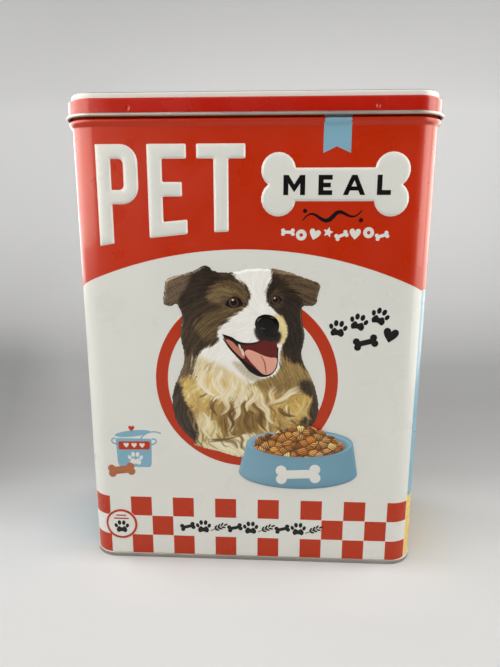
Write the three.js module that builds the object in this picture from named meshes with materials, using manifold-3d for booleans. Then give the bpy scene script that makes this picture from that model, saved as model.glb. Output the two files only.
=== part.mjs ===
// A tall printed storage tin for pet food: a wrapped sheet body with a seamed-on bottom and a stepped
// lid that swings back on two wires laid inside the stop bead of the rear wall.
//
// Frame: millimetres, +Z up, X across the width, front towards -Y, origin on the floor under the centre.
// Sections are drawn as (out, z): out is measured outwards from the flat outer face of the body.

import * as THREE from 'three';
import { mergeVertices } from 'three/addons/utils/BufferGeometryUtils.js';
import Module from 'manifold-3d';

const wasm = await Module();
wasm.setup();

// Overall size
const HEIGHT = 260;
const BODY_WIDTH = 190;
const BODY_DEPTH = 80;
const CORNER_RADIUS = 14;
const SHEET = 0.3;

// Bottom double seam, and the panel recessed inside it
const SEAM_HEIGHT = 2.6;
const SEAM_OUT = 0.6;
const SEAM_INNER_OUT = -0.95;
const WALL_FOOT = 0.72;
const PANEL_RECESS = 3.2;
const PANEL_RISE = 0.8;
const PANEL_MARGIN = 6;
const PANEL_SLOPE = 1;
const PANEL_RIM = 2;
const PANEL_LAP = 0.35;

// Stop bead, neck and safe edge of the body
const BEAD_BOTTOM = 243.3;
const BEAD_PEAK = 246;
const BEAD_TOP = 247.9;
const BEAD_PROUD = 1.5;
const BEAD_FOOT_EASE = 0.8;
const BEAD_LOWER_FLANK = 1.3;
const BEAD_UPPER_FLANK = 1.6;
const BEAD_NECK_EASE = 0.9;
const NECK_INSET = 0.4;
const NECK_TOP = 256;
const NECK_CURL_RADIUS = 0.8;

// Lid: raised top tier, ledge, skirt and outward curl
const TIER_INSET = 0.3;
const TIER_EDGE_RADIUS = 1.15;
const TOP_RIM = 4;
const TOP_LAP = 1;
const LEDGE_TOP = 256.7;
const LEDGE_EDGE_RADIUS = 0.75;
const SKIRT_OUT = 1.5;
const SKIRT_BOTTOM = 248;
const LID_CURL_RADIUS = 0.85;
const CURL_TIP_TURN = THREE.MathUtils.degToRad(470);

// Snap nibs pressed into the front of the skirt
const NIB_X = 62;
const NIB_Z = 252;
const NIB_RADIUS = 2;
const NIB_DEPTH = 0.8;
const NIB_CLEARANCE = 1;

// Hinges: two tongues of the lid rolled round wires that lie inside the rear bead
const HINGE_X = 52;
const HINGE_WIDTH = 18;
const HINGE_SIDE_GAP = 0.6;
const AXIS_OUT = 0.2;
const AXIS_Z = 245.6;
const WIRE_RADIUS = 0.75;
const WIRE_LENGTH = 36;
const KNUCKLE_RADIUS = 1.3;
const KNUCKLE_END_TURN = THREE.MathUtils.degToRad(-290);
const WINDOW_BOTTOM = 243;
const WINDOW_TOP = 248.6;
const WINDOW_REACH = 3;
const NOTCH_TOP = 250.2;
const NOTCH_START_OUT = 0.5;
const NOTCH_END_OUT = 5;
const NOTCH_CLEARANCE = 1;
const TONGUE_LAP = 0.4;

// Lock seam of the wrapped sheet, folded to the inside of the rear wall
const LOCK_SEAM_WIDTH = 3.6;
const LOCK_SEAM_THICKNESS = 0.6;
const LOCK_SEAM_BOTTOM = 5;
const LOCK_SEAM_TOP = 242;

// Fineness of the round stretches
const CORNER_STEPS = 6;
const CURVE_STEPS = 6;
const CURL_STEPS = 4;
const WIRE_SIDES = 20;
const BALL_COLUMNS = 20;
const BALL_ROWS = 12;
const SAME_POINT = 1e-5;

const REAR = BODY_DEPTH / 2;
const HALF_SHEET = SHEET / 2;
const RIGHT_ANGLE = Math.PI / 2;
const HINGES = { left: -HINGE_X, right: HINGE_X };

// --- Solids -----------------------------------------------------------------------------------------

function toSolid(geometry) {
  const bare = new THREE.BufferGeometry();
  bare.setAttribute('position', geometry.getAttribute('position').clone());
  bare.setIndex(geometry.getIndex());
  const merged = mergeVertices(bare, SAME_POINT);
  return new wasm.Manifold(new wasm.Mesh({
    numProp: 3,
    vertProperties: merged.getAttribute('position').array,
    triVerts: Uint32Array.from(merged.getIndex().array),
  }));
}

function toGeometry(solid) {
  const mesh = solid.getMesh();
  const geometry = new THREE.BufferGeometry();
  geometry.setAttribute('position', new THREE.BufferAttribute(mesh.vertProperties, 3));
  geometry.setIndex(new THREE.BufferAttribute(mesh.triVerts, 1));
  geometry.computeVertexNormals();
  return geometry;
}

function block(low, high) {
  const size = high.map((value, axis) => value - low[axis]);
  const centre = high.map((value, axis) => (value + low[axis]) / 2);
  return toSolid(new THREE.BoxGeometry(...size).translate(...centre));
}

function ball(radius, centre) {
  return toSolid(new THREE.SphereGeometry(radius, BALL_COLUMNS, BALL_ROWS).translate(...centre));
}

// --- Sheet metal ------------------------------------------------------------------------------------

// The closed outline of a sheet whose middle follows the path.
function sheetOutline(path, steps) {
  const isNew = (point, i, all) => i === 0 || point.distanceTo(all[i - 1]) > SAME_POINT;
  const line = path.getPoints(steps).filter(isNew);
  const last = line.length - 1;
  const oneSide = [];
  const otherSide = [];
  line.forEach((point, i) => {
    const arriving = line[Math.max(i, 1)].clone().sub(line[Math.max(i, 1) - 1]).normalize();
    const leaving = line[Math.min(i, last - 1) + 1].clone().sub(line[Math.min(i, last - 1)]).normalize();
    const along = arriving.clone().add(leaving).normalize();
    const reach = HALF_SHEET / along.dot(leaving);
    const across = new THREE.Vector2(along.y, -along.x).multiplyScalar(reach);
    oneSide.push(point.clone().add(across));
    otherSide.unshift(point.clone().sub(across));
  });
  return [...oneSide, ...otherSide];
}

// Carries a closed (out, z) outline round the rounded-rectangle plan of the body.
function hoop(outline) {
  const perCorner = CORNER_STEPS + 1;
  const ring = 4 * perCorner;
  const profile = [...outline, outline[0]].map(({ x, y }) => new THREE.Vector2(CORNER_RADIUS + x, y));
  const geometry = new THREE.LatheGeometry(profile, ring);
  const position = geometry.getAttribute('position');
  for (let i = 0; i < position.count; i++) {
    const step = Math.floor(i / profile.length) % ring;
    const corner = Math.floor(step / perCorner);
    const turn = (corner + (step % perCorner) / CORNER_STEPS) * RIGHT_ANGLE;
    const sideX = corner === 0 || corner === 3 ? 1 : -1;
    const sideY = corner < 2 ? 1 : -1;
    const { x: radius, y: height } = profile[i % profile.length];
    const x = sideX * (BODY_WIDTH / 2 - CORNER_RADIUS) + radius * Math.cos(turn);
    const y = sideY * (BODY_DEPTH / 2 - CORNER_RADIUS) + radius * Math.sin(turn);
    position.setXYZ(i, x, y, height);
  }
  return toSolid(geometry);
}

// A flat sheet over the body's plan, grown or shrunk by out, with its underside at z. An arc of a shape
// takes twice as many steps as curveSegments says.
function panel(out, z) {
  const halfX = BODY_WIDTH / 2 + out;
  const halfY = BODY_DEPTH / 2 + out;
  const radius = CORNER_RADIUS + out;
  const shape = new THREE.Shape();
  shape.absarc(halfX - radius, halfY - radius, radius, 0, RIGHT_ANGLE);
  shape.absarc(radius - halfX, halfY - radius, radius, RIGHT_ANGLE, 2 * RIGHT_ANGLE);
  shape.absarc(radius - halfX, radius - halfY, radius, 2 * RIGHT_ANGLE, 3 * RIGHT_ANGLE);
  shape.absarc(halfX - radius, radius - halfY, radius, 3 * RIGHT_ANGLE, 4 * RIGHT_ANGLE);
  const geometry = new THREE.ExtrudeGeometry(shape, {
    depth: SHEET, curveSegments: CORNER_STEPS / 2, bevelEnabled: false,
  });
  return toSolid(geometry.translate(0, 0, z));
}

// An (out, z) outline on the rear wall, run along X for a width about the given middle.
function rearStrip(outline, middle, width) {
  const geometry = new THREE.ExtrudeGeometry(new THREE.Shape(outline), { depth: width, bevelEnabled: false });
  const turned = new THREE.Matrix4().makeBasis(
    new THREE.Vector3(0, 1, 0),
    new THREE.Vector3(0, 0, 1),
    new THREE.Vector3(1, 0, 0),
  );
  return toSolid(geometry.applyMatrix4(turned).translate(middle - width / 2, REAR, 0));
}

// --- Body -------------------------------------------------------------------------------------------

function wallPath() {
  const wall = -HALF_SHEET;
  const neck = -NECK_INSET - HALF_SHEET;
  const peak = BEAD_PROUD - HALF_SHEET;
  const curl = NECK_CURL_RADIUS - HALF_SHEET;
  const path = new THREE.Path();
  path.moveTo(wall, WALL_FOOT);
  path.lineTo(wall, BEAD_BOTTOM);
  path.bezierCurveTo(wall, BEAD_BOTTOM + BEAD_FOOT_EASE, peak, BEAD_PEAK - BEAD_LOWER_FLANK, peak, BEAD_PEAK);
  path.bezierCurveTo(peak, BEAD_PEAK + BEAD_UPPER_FLANK, neck, BEAD_TOP - BEAD_NECK_EASE, neck, BEAD_TOP);
  path.lineTo(neck, NECK_TOP - NECK_CURL_RADIUS);
  path.absarc(neck - curl, NECK_TOP - NECK_CURL_RADIUS, curl, 0, 1.5 * Math.PI);
  return path;
}

function hingeWindow(x) {
  const reach = HINGE_WIDTH / 2 + HINGE_SIDE_GAP;
  return block(
    [x - reach, REAR - WINDOW_REACH, WINDOW_BOTTOM],
    [x + reach, REAR + WINDOW_REACH, WINDOW_TOP],
  );
}

function bodyWall() {
  const seamLow = [-LOCK_SEAM_WIDTH / 2, REAR - HALF_SHEET - LOCK_SEAM_THICKNESS, LOCK_SEAM_BOTTOM];
  const seamHigh = [LOCK_SEAM_WIDTH / 2, REAR - HALF_SHEET, LOCK_SEAM_TOP];
  let wall = hoop(sheetOutline(wallPath(), CURVE_STEPS)).add(block(seamLow, seamHigh));
  for (const x of Object.values(HINGES)) {
    wall = wall.subtract(hingeWindow(x));
  }
  return wall;
}

// --- Bottom -----------------------------------------------------------------------------------------

const PANEL_Z = PANEL_RECESS + PANEL_RISE;
const PANEL_FOOT_OUT = SEAM_INNER_OUT + HALF_SHEET - PANEL_MARGIN;
const PANEL_RIM_OUT = PANEL_FOOT_OUT - PANEL_SLOPE - PANEL_RIM;

// The seam's hook outside the wall, its inner wall, the recess and the slope up to the stiffening panel.
function bottomPath() {
  const outer = SEAM_OUT - HALF_SHEET;
  const inner = SEAM_INNER_OUT + HALF_SHEET;
  const path = new THREE.Path();
  path.moveTo(outer, SEAM_HEIGHT);
  path.lineTo(outer, HALF_SHEET);
  path.lineTo(inner, HALF_SHEET);
  path.lineTo(inner, PANEL_RECESS);
  path.lineTo(PANEL_FOOT_OUT, PANEL_RECESS);
  path.lineTo(PANEL_FOOT_OUT - PANEL_SLOPE, PANEL_Z);
  path.lineTo(PANEL_RIM_OUT, PANEL_Z);
  return path;
}

function bottomEnd() {
  return hoop(sheetOutline(bottomPath(), 1)).add(panel(PANEL_RIM_OUT + PANEL_LAP, PANEL_Z - HALF_SHEET));
}

// --- Lid --------------------------------------------------------------------------------------------

// The rim of the top, the tier's edge and foot, the ledge, the skirt and the curl at its bottom edge.
function lidPath() {
  const top = HEIGHT - HALF_SHEET;
  const tier = -TIER_INSET - HALF_SHEET;
  const ledge = LEDGE_TOP - HALF_SHEET;
  const skirt = SKIRT_OUT - HALF_SHEET;
  const tierEdge = TIER_EDGE_RADIUS - HALF_SHEET;
  const tierFoot = tierEdge / 2;
  const ledgeEdge = LEDGE_EDGE_RADIUS - HALF_SHEET;
  const curl = LID_CURL_RADIUS - HALF_SHEET;
  const curlZ = SKIRT_BOTTOM + LID_CURL_RADIUS;
  const path = new THREE.Path();
  path.moveTo(tier - TOP_RIM, top);
  path.lineTo(tier - tierEdge, top);
  path.absarc(tier - tierEdge, top - tierEdge, tierEdge, RIGHT_ANGLE, 0, true);
  path.absarc(tier + tierFoot, ledge + tierFoot, tierFoot, Math.PI, 1.5 * Math.PI);
  path.absarc(skirt - ledgeEdge, ledge - ledgeEdge, ledgeEdge, RIGHT_ANGLE, 0, true);
  path.lineTo(skirt, curlZ);
  path.absarc(skirt + curl, curlZ, curl, Math.PI, CURL_TIP_TURN);
  return path;
}

// The tongue runs down in line with the skirt and is rolled under the wire, towards the inside.
function tonguePath() {
  const roll = KNUCKLE_RADIUS - HALF_SHEET;
  const path = new THREE.Path();
  path.moveTo(AXIS_OUT + roll, NOTCH_TOP + TONGUE_LAP);
  path.lineTo(AXIS_OUT + roll, AXIS_Z);
  path.absarc(AXIS_OUT, AXIS_Z, roll, 0, KNUCKLE_END_TURN, true);
  return path;
}

function curlNotch(x) {
  const reach = HINGE_WIDTH / 2 + HINGE_SIDE_GAP;
  return block(
    [x - reach, REAR + NOTCH_START_OUT, SKIRT_BOTTOM - NOTCH_CLEARANCE],
    [x + reach, REAR + NOTCH_END_OUT, NOTCH_TOP],
  );
}

// A nib is a shallow dome pressed inwards: part of a ball of sheet, hollow from the outside.
function addNib(lid, x) {
  const front = -BODY_DEPTH / 2;
  const centre = [x, front - (SKIRT_OUT - SHEET - NIB_DEPTH + NIB_RADIUS), NIB_Z];
  const reach = NIB_RADIUS + NIB_CLEARANCE;
  const inside = block(
    [x - reach, front - SKIRT_OUT + HALF_SHEET, NIB_Z - reach],
    [x + reach, front + reach, NIB_Z + reach],
  );
  const pressing = ball(NIB_RADIUS, centre).intersect(inside);
  return lid.add(pressing).subtract(ball(NIB_RADIUS - SHEET, centre));
}

function lidShell() {
  const topOut = TOP_LAP - TIER_INSET - TOP_RIM;
  let lid = hoop(sheetOutline(lidPath(), CURL_STEPS)).add(panel(topOut, HEIGHT - SHEET));
  for (const x of Object.values(HINGES)) {
    const tongue = rearStrip(sheetOutline(tonguePath(), CURL_STEPS), x, HINGE_WIDTH);
    lid = lid.subtract(curlNotch(x)).add(tongue);
  }
  lid = addNib(lid, -NIB_X);
  return addNib(lid, NIB_X);
}

// --- Hinge wires ------------------------------------------------------------------------------------

function hingeWire(x) {
  const rod = new THREE.CylinderGeometry(WIRE_RADIUS, WIRE_RADIUS, WIRE_LENGTH, WIRE_SIDES);
  return toSolid(rod.rotateZ(RIGHT_ANGLE).translate(x, REAR + AXIS_OUT, AXIS_Z));
}

// --- The assembled tin ------------------------------------------------------------------------------

const PRINTED_RED = new THREE.MeshStandardMaterial({ color: 0xb3260f, roughness: 0.32, metalness: 0.35 });
const PRINTED_CREAM = new THREE.MeshStandardMaterial({ color: 0xd6d3c6, roughness: 0.35, metalness: 0.3 });
const BARE_TINPLATE = new THREE.MeshStandardMaterial({ color: 0xb9b8b4, roughness: 0.35, metalness: 1 });
const STEEL_WIRE = new THREE.MeshStandardMaterial({ color: 0x9a9b9c, roughness: 0.3, metalness: 1 });

const tin = new THREE.Group();

function addPart(name, solid, material) {
  const mesh = new THREE.Mesh(toGeometry(solid), material);
  mesh.name = name;
  tin.add(mesh);
}

addPart('body_wall', bodyWall(), PRINTED_CREAM);
addPart('bottom_end', bottomEnd(), BARE_TINPLATE);
addPart('lid_shell', lidShell(), PRINTED_RED);
for (const [side, x] of Object.entries(HINGES)) {
  addPart(`hinge_wire_${side}`, hingeWire(x), STEEL_WIRE);
}

export default tin;
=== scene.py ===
"""A printed and embossed tinplate storage tin for pet food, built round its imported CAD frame.

Lengths are millimetres until a mesh is made, +Z is up and the front faces -Y. The printed label is drawn
in label coordinates: u runs along the wall from the middle of the front towards +X, z runs up from the
floor, and out is measured outwards from the flat faces of the body.
"""

import math

import bmesh
import bpy
import numpy as np
from mathutils import Matrix, Vector
from mathutils.geometry import delaunay_2d_cdt


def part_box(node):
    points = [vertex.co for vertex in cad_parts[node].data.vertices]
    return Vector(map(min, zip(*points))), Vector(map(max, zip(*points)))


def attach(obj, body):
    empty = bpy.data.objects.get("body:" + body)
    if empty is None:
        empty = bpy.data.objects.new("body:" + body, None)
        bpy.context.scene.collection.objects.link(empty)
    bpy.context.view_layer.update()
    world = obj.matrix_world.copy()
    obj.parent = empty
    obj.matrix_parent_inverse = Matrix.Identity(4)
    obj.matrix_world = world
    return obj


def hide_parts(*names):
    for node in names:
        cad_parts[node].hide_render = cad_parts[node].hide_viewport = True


MM = 0.001

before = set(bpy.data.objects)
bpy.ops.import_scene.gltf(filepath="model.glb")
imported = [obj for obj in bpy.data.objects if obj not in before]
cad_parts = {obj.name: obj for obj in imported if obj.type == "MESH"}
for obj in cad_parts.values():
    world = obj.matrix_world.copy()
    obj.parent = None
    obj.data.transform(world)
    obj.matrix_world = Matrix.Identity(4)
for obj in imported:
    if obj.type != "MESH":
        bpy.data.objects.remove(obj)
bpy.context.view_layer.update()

# --- Camera ---

CAMERA_AT = (11.79, -306.52, 193.26)
CAMERA_YAW = math.radians(2.653)
CAMERA_PITCH = math.radians(11.768)
CAMERA_ROLL = math.radians(0.098)
CAMERA_LENS = 27.17
CAMERA_SENSOR = 36
CAMERA_NEAR = 10


def add_camera():
    data = bpy.data.cameras.new("camera")
    data.lens = CAMERA_LENS
    data.sensor_width = CAMERA_SENSOR
    data.clip_start = CAMERA_NEAR * MM
    camera = bpy.data.objects.new("camera", data)
    upright = Matrix.Rotation(math.pi / 2 - CAMERA_PITCH, 4, "X")
    turn = Matrix.Rotation(CAMERA_YAW, 4, "Z")
    roll = Matrix.Rotation(CAMERA_ROLL, 4, "Z")
    camera.matrix_world = Matrix.Translation(Vector(CAMERA_AT) * MM) @ turn @ upright @ roll
    bpy.context.scene.collection.objects.link(camera)
    bpy.context.scene.camera = camera


add_camera()

# --- Sizes of the tin ---

SHEET = 0.3
HALF_SHEET = SHEET / 2
BEAD_PROUD = 1.5
CORNER = 14

wall_low, wall_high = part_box("body_wall")
_, lid_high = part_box("lid_shell")
WIDTH = (wall_high.x - wall_low.x) / MM - 2 * BEAD_PROUD
DEPTH = (wall_high.y - wall_low.y) / MM - 2 * BEAD_PROUD
HEIGHT = lid_high.z / MM
REAR = DEPTH / 2

FLAT_X = WIDTH / 2 - CORNER
FLAT_Y = DEPTH / 2 - CORNER
ARC = CORNER * math.pi / 2
GIRTH = 4 * (FLAT_X + FLAT_Y + ARC)
REAR_MIDDLE = GIRTH / 2
PRINT_CORNER = FLAT_X + ARC * 43 / 90
LEFT_PRINT_CORNER = FLAT_X + ARC * 80 / 90

# Bends, curls and rolls are given by the radius of the sheet's middle.
SEAM_HEIGHT = 2.6
SEAM_OUT = 0.6
SEAM_INNER_OUT = -0.95
SEAM_BEND = 0.3
SEAM_LIP = 0.35
WALL_FOOT = 0.72
PANEL_RECESS = 3.2
PANEL_RISE = 0.8
PANEL_MARGIN = 6
LOCK_SEAM_WIDTH = 3.6
LOCK_SEAM_THICKNESS = 0.6
LOCK_SEAM_Z = (5, 242)

BEAD_BOTTOM = 243.3
BEAD_PEAK = 246
BEAD_TOP = 247.9
NECK_INSET = 0.4
NECK_TOP = 256
NECK_CURL = 0.65

LEDGE_TOP = 256.7
SKIRT_OUT = 1.5
SKIRT_BOTTOM = 248
TIER_INSET = 0.3
TIER_EDGE = 1
TIER_FOOT = 0.5
TIER_LOW = 0.6
TOP_RIM = 4
LEDGE_EDGE = 0.6
LID_CURL = 0.7

HINGE_X = 52
HINGES = {"left": -HINGE_X, "right": HINGE_X}
HINGE_WIDTH = 18
HINGE_SIDE_GAP = 0.6
AXIS_OUT = 0.2
AXIS_Z = 245.6
TONGUE_ROLL = 1.15
TONGUE_LAP = 0.4
WINDOW_Z = (243, 248.6)
WINDOW_REACH = 3
NOTCH_TOP = 250.2
NOTCH_OUTS = (0.5, 5)
NIB_X = 62
NIB_Z = 252
NIB_DEPTH = 0.7
NIB_RADIUS = 1.3
NIB_AREA = 2.5

# Layers of lacquer stand a little proud of the sheet and of each other, and start a little inside it.
LAYER = 0.03
SUNK = -0.1

# --- Curves in a plane ---


def arc(x, y, radius, start, end, steps):
    """Points of a round stretch, with its angles in degrees."""
    turns = np.radians(np.linspace(start, end, steps + 1))
    return [(x + radius * math.cos(t), y + radius * math.sin(t)) for t in turns]


def bezier(a, b, c, d, steps):
    """Points of a curve from a to d that b and c pull on."""
    a, b, c, d = (np.array(p, float) for p in (a, b, c, d))
    ts = np.linspace(0, 1, steps + 1)[:, None]
    line = a * (1 - ts) ** 3 + 3 * b * ts * (1 - ts) ** 2 + 3 * c * ts**2 * (1 - ts) + d * ts**3
    return [tuple(p) for p in line]


def turned(points, degrees, to=(0, 0), scale=1):
    """Points scaled and turned about their origin, and moved from there to a place."""
    c, s = math.cos(math.radians(degrees)), math.sin(math.radians(degrees))
    return [(to[0] + scale * (x * c - y * s), to[1] + scale * (x * s + y * c)) for x, y in points]


def ellipse(x, y, rx, ry, steps=40, tilt=0):
    turns = np.linspace(0, 2 * math.pi, steps, endpoint=False)
    return turned([(rx * math.cos(t), ry * math.sin(t)) for t in turns], tilt, (x, y))


def circle(x, y, radius, steps=40):
    return ellipse(x, y, radius, radius, steps)


def soft_stretch(a, b, c, d, steps):
    """Points from b until c on a Catmull-Rom curve."""
    a, b, c, d = (np.array(p, float) for p in (a, b, c, d))
    return [tuple(0.5 * (2 * b + (c - a) * t + (2 * a - 5 * b + 4 * c - d) * t**2
                         + (3 * b - a - 3 * c + d) * t**3)) for t in np.arange(steps) / steps]


def smooth(points, steps=6):
    """A soft closed curve through the points."""
    p = [points[-1], *points, *points[:2]]
    return [q for four in zip(p, p[1:], p[2:], p[3:]) for q in soft_stretch(*four, steps)]


def smooth_path(points, steps=5):
    """A soft open curve through the points."""
    p = [points[0], *points, points[-1]]
    path = [q for four in zip(p, p[1:], p[2:], p[3:]) for q in soft_stretch(*four, steps)]
    return path + [points[-1]]


def rounded(points, radius, steps=4):
    """A polygon with its corners rounded off."""
    p = [np.array(q, float) for q in points]
    line = []
    for i, corner in enumerate(p):
        back, ahead = p[i - 1] - corner, p[(i + 1) % len(p)] - corner
        cut = min(radius, np.linalg.norm(back) * 0.45, np.linalg.norm(ahead) * 0.45)
        start = corner + back / np.linalg.norm(back) * cut
        end = corner + ahead / np.linalg.norm(ahead) * cut
        for t in np.linspace(0, 1, steps + 1):
            line.append(tuple(start * (1 - t) ** 2 + 2 * corner * t * (1 - t) + end * t * t))
    return line


def across(line):
    """Unit steps to the right of a line of points."""
    along = np.gradient(line, axis=0)
    along /= np.linalg.norm(along, axis=1)[:, None]
    return np.stack([along[:, 1], -along[:, 0]], 1)


def across_loop(loop):
    """Unit steps to the right of a closed loop."""
    along = np.roll(loop, -1, 0) - np.roll(loop, 1, 0)
    along /= np.maximum(np.linalg.norm(along, axis=1), 1e-9)[:, None]
    return np.stack([along[:, 1], -along[:, 0]], 1)


def stroke(points, width):
    """The outline of a line with round ends. Its width is one number, or one for each point."""
    p = np.array(points, float)
    w = np.broadcast_to(np.asarray(width, float), (len(p),)) / 2
    rightward = across(p)
    right, left = p + rightward * w[:, None], p - rightward * w[:, None]
    end = math.degrees(math.atan2(rightward[-1][1], rightward[-1][0]))
    start = math.degrees(math.atan2(-rightward[0][1], -rightward[0][0]))
    end_cap = arc(*p[-1], w[-1], end, end + 180, 6)[1:-1]
    start_cap = arc(*p[0], w[0], start, start + 180, 6)[1:-1]
    return [*map(tuple, right), *end_cap, *map(tuple, left[::-1]), *start_cap]


def finer(loop, step):
    """A loop with points added so that no stretch is longer than step."""
    line = []
    for a, b in zip(loop, loop[1:] + loop[:1]):
        n = max(1, math.ceil(math.dist(a, b) / step))
        line += [(a[0] + (b[0] - a[0]) * i / n, a[1] + (b[1] - a[1]) * i / n) for i in range(n)]
    return line


def in_parts(measure, loops, points, most=2_000_000):
    """Measures the points against all stretches of the loops, in parts that fit in memory."""
    starts = np.concatenate([np.array(loop, float) for loop in loops])
    ends = np.concatenate([np.roll(np.array(loop, float), -1, 0) for loop in loops])
    parts = np.array_split(np.asarray(points, float), max(1, len(points) * len(starts) // most))
    return np.concatenate([measure(starts, ends, part) for part in parts])


def distance_to(loops, points):
    """How far each point is from the nearest stretch of the loops."""
    def measure(a, b, part):
        along = b - a
        t = np.clip(((part[:, None] - a) * along).sum(2) / np.maximum((along**2).sum(1), 1e-12), 0, 1)
        return np.linalg.norm(part[:, None] - (a + along * t[..., None]), axis=2).min(1)

    return in_parts(measure, loops, points)


def inside(loops, points):
    """Which points lie inside the loops, by the even-odd rule."""
    def measure(a, b, part):
        x, y = part[:, :1], part[:, 1:]
        rise = np.where(b[:, 1] == a[:, 1], 1e-12, b[:, 1] - a[:, 1])
        crosses = (a[:, 1] > y) != (b[:, 1] > y)
        return (crosses & (x < a[:, 0] + (y - a[:, 1]) * (b - a)[:, 0] / rise)).sum(1) % 2 == 1

    return in_parts(measure, loops, points)


def ease(low, high, value):
    """A soft step from 0 at low to 1 at high."""
    t = np.clip((value - low) / (high - low), 0, 1)
    return t * t * (3 - 2 * t)


# --- Round the wall ---


def wrap(u, z, out):
    """Label coordinates to x, y, z."""
    u, z, out = np.broadcast_arrays(np.asarray(u, float), np.asarray(z, float), np.asarray(out, float))
    along = u % GIRTH
    side = np.where(along > GIRTH / 2, -1, 1)
    t = np.where(along > GIRTH / 2, GIRTH - along, along)
    first = np.clip((t - FLAT_X) / ARC, 0, 1)
    second = np.clip((t - FLAT_X - ARC - 2 * FLAT_Y) / ARC, 0, 1)
    heading = (first + second) * math.pi / 2
    x = np.clip(t, 0, FLAT_X) - np.clip(t - FLAT_X - 2 * ARC - 2 * FLAT_Y, 0, FLAT_X)
    y = np.clip(t - FLAT_X - ARC, 0, 2 * FLAT_Y) - FLAT_Y
    radius = CORNER + out
    return np.stack([side * (x + radius * np.sin(heading)), y - radius * np.cos(heading), z], -1)


def columns(corner_steps=20, flat_step=9):
    """The places along the girth where a hoop of sheet has its columns."""
    ends = np.cumsum([0, FLAT_X, ARC, 2 * FLAT_Y, ARC, 2 * FLAT_X, ARC, 2 * FLAT_Y, ARC, FLAT_X])
    line = []
    for i, (a, b) in enumerate(zip(ends, ends[1:])):
        steps = corner_steps if i % 2 else math.ceil((b - a) / flat_step)
        line += list(np.linspace(a, b, steps, endpoint=False))
    return np.array(line)


def in_order(*places, digits=4):
    """Places along the girth in order, each of them once."""
    return np.unique(np.round(np.concatenate(places), digits))


def offset_line(path, reach):
    """An open path moved sideways, to its right, by reach, without the points that it repeats."""
    p = np.array(path, float)
    p = p[[0] + [i for i in range(1, len(p)) if math.dist(p[i], p[i - 1]) > 1e-6]]
    steps = np.diff(p, axis=0)
    steps /= np.linalg.norm(steps, axis=1)[:, None]
    arriving, leaving = np.vstack([steps[:1], steps]), np.vstack([steps, steps[-1:]])
    along = arriving + leaving
    along /= np.linalg.norm(along, axis=1)[:, None]
    rightward = np.stack([along[:, 1], -along[:, 0]], 1)
    return p + rightward * (reach / (along * leaving).sum(1))[:, None]


def sheet_outline(path):
    """The closed outline of the sheet whose middle is the path."""
    return np.vstack([offset_line(path, HALF_SHEET), offset_line(path, -HALF_SHEET)[::-1]])


# --- Meshes ---


def add_piece(name, points, faces, body, slot, material, sharp=35, paint=None):
    """A mesh piece from points in millimetres, riding on a body and finished with its material; the slot of
    the record is not used.
    """
    mesh = bpy.data.meshes.new(name)
    mesh.from_pydata([tuple(p) for p in np.asarray(points, float) * MM], [], faces)
    if paint is not None:
        colours = mesh.color_attributes.new("paint", "FLOAT_COLOR", "POINT")
        opaque = np.column_stack([paint, np.ones(len(paint))])
        colours.data.foreach_set("color", opaque.astype(np.float32).ravel())
    tidy = bmesh.new()
    tidy.from_mesh(mesh)
    bmesh.ops.remove_doubles(tidy, verts=tidy.verts, dist=1e-7)
    bmesh.ops.recalc_face_normals(tidy, faces=tidy.faces)
    tidy.to_mesh(mesh)
    tidy.free()
    mesh.shade_smooth()
    mesh.set_sharp_from_angle(angle=math.radians(sharp))
    mesh.materials.append(material)
    piece = bpy.data.objects.new(name, mesh)
    bpy.context.scene.collection.objects.link(piece)
    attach(piece, body)
    return piece


def hoop(outline, us, middle=None):
    """Points and faces of a closed (out, z) outline carried round the girth. Between the two neighbours in
    the outline that are given as middle, the hoop is closed by a face above and a face below."""
    outline = np.asarray(outline, float)
    n, many = len(outline), len(us)
    points = wrap(us[:, None], outline[None, :, 1], outline[None, :, 0]).reshape(-1, 3)
    kept = [k for k in range(n) if middle is None or {k, (k + 1) % n} != set(middle)]
    faces = []
    for i in range(many):
        j = (i + 1) % many
        faces += [(i * n + k, j * n + k, j * n + (k + 1) % n, i * n + (k + 1) % n) for k in kept]
    if middle is not None:
        one, other = ([i * n + k for i in range(many)] for k in middle)
        faces += [one, other[::-1]]
    return points, faces


def prism(start, end):
    """Points and faces of a straight piece between two like outlines."""
    n = len(start)
    sides = [(i, (i + 1) % n, n + (i + 1) % n, n + i) for i in range(n)]
    return [*start, *end], sides + [tuple(range(n)), tuple(range(n, 2 * n))[::-1]]


def fill(loops, extra):
    """Triangles inside the loops, by the even-odd rule, that use the extra points."""
    points, edges = [], []
    for loop in loops:
        first = len(points)
        points += [Vector(p) for p in loop]
        edges += [(first + i, first + (i + 1) % len(loop)) for i in range(len(loop))]
    points += [Vector(p) for p in extra]
    found, _, faces, *_ = delaunay_2d_cdt(points, edges, [], 0, 1e-6, False)
    flat = np.array([tuple(p) for p in found])
    faces = np.array(faces)
    faces = faces[inside(loops, flat[faces].mean(1))]
    (ax, az), (bx, bz), (cx, cz) = (flat[faces[:, i]].T for i in range(3))
    leftward = (bx - ax) * (cz - az) - (bz - az) * (cx - ax) > 0
    faces = np.where(leftward[:, None], faces, faces[:, ::-1])
    used, numbers = np.unique(faces, return_inverse=True)
    return flat[used], numbers.reshape(-1, 3).tolist()


def slab(faces, top, bottom):
    """Closes the faces of a sheet of points between its top and its bottom."""
    n = len(top)
    edges = dict.fromkeys((a, b) for face in faces for a, b in zip(face, face[1:] + face[:1]))
    sides = [(b, a, a + n, b + n) for a, b in edges if (b, a) not in edges]
    under = [tuple(i + n for i in face[::-1]) for face in faces]
    return np.vstack([top, bottom]), [tuple(f) for f in faces] + under + sides


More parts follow.
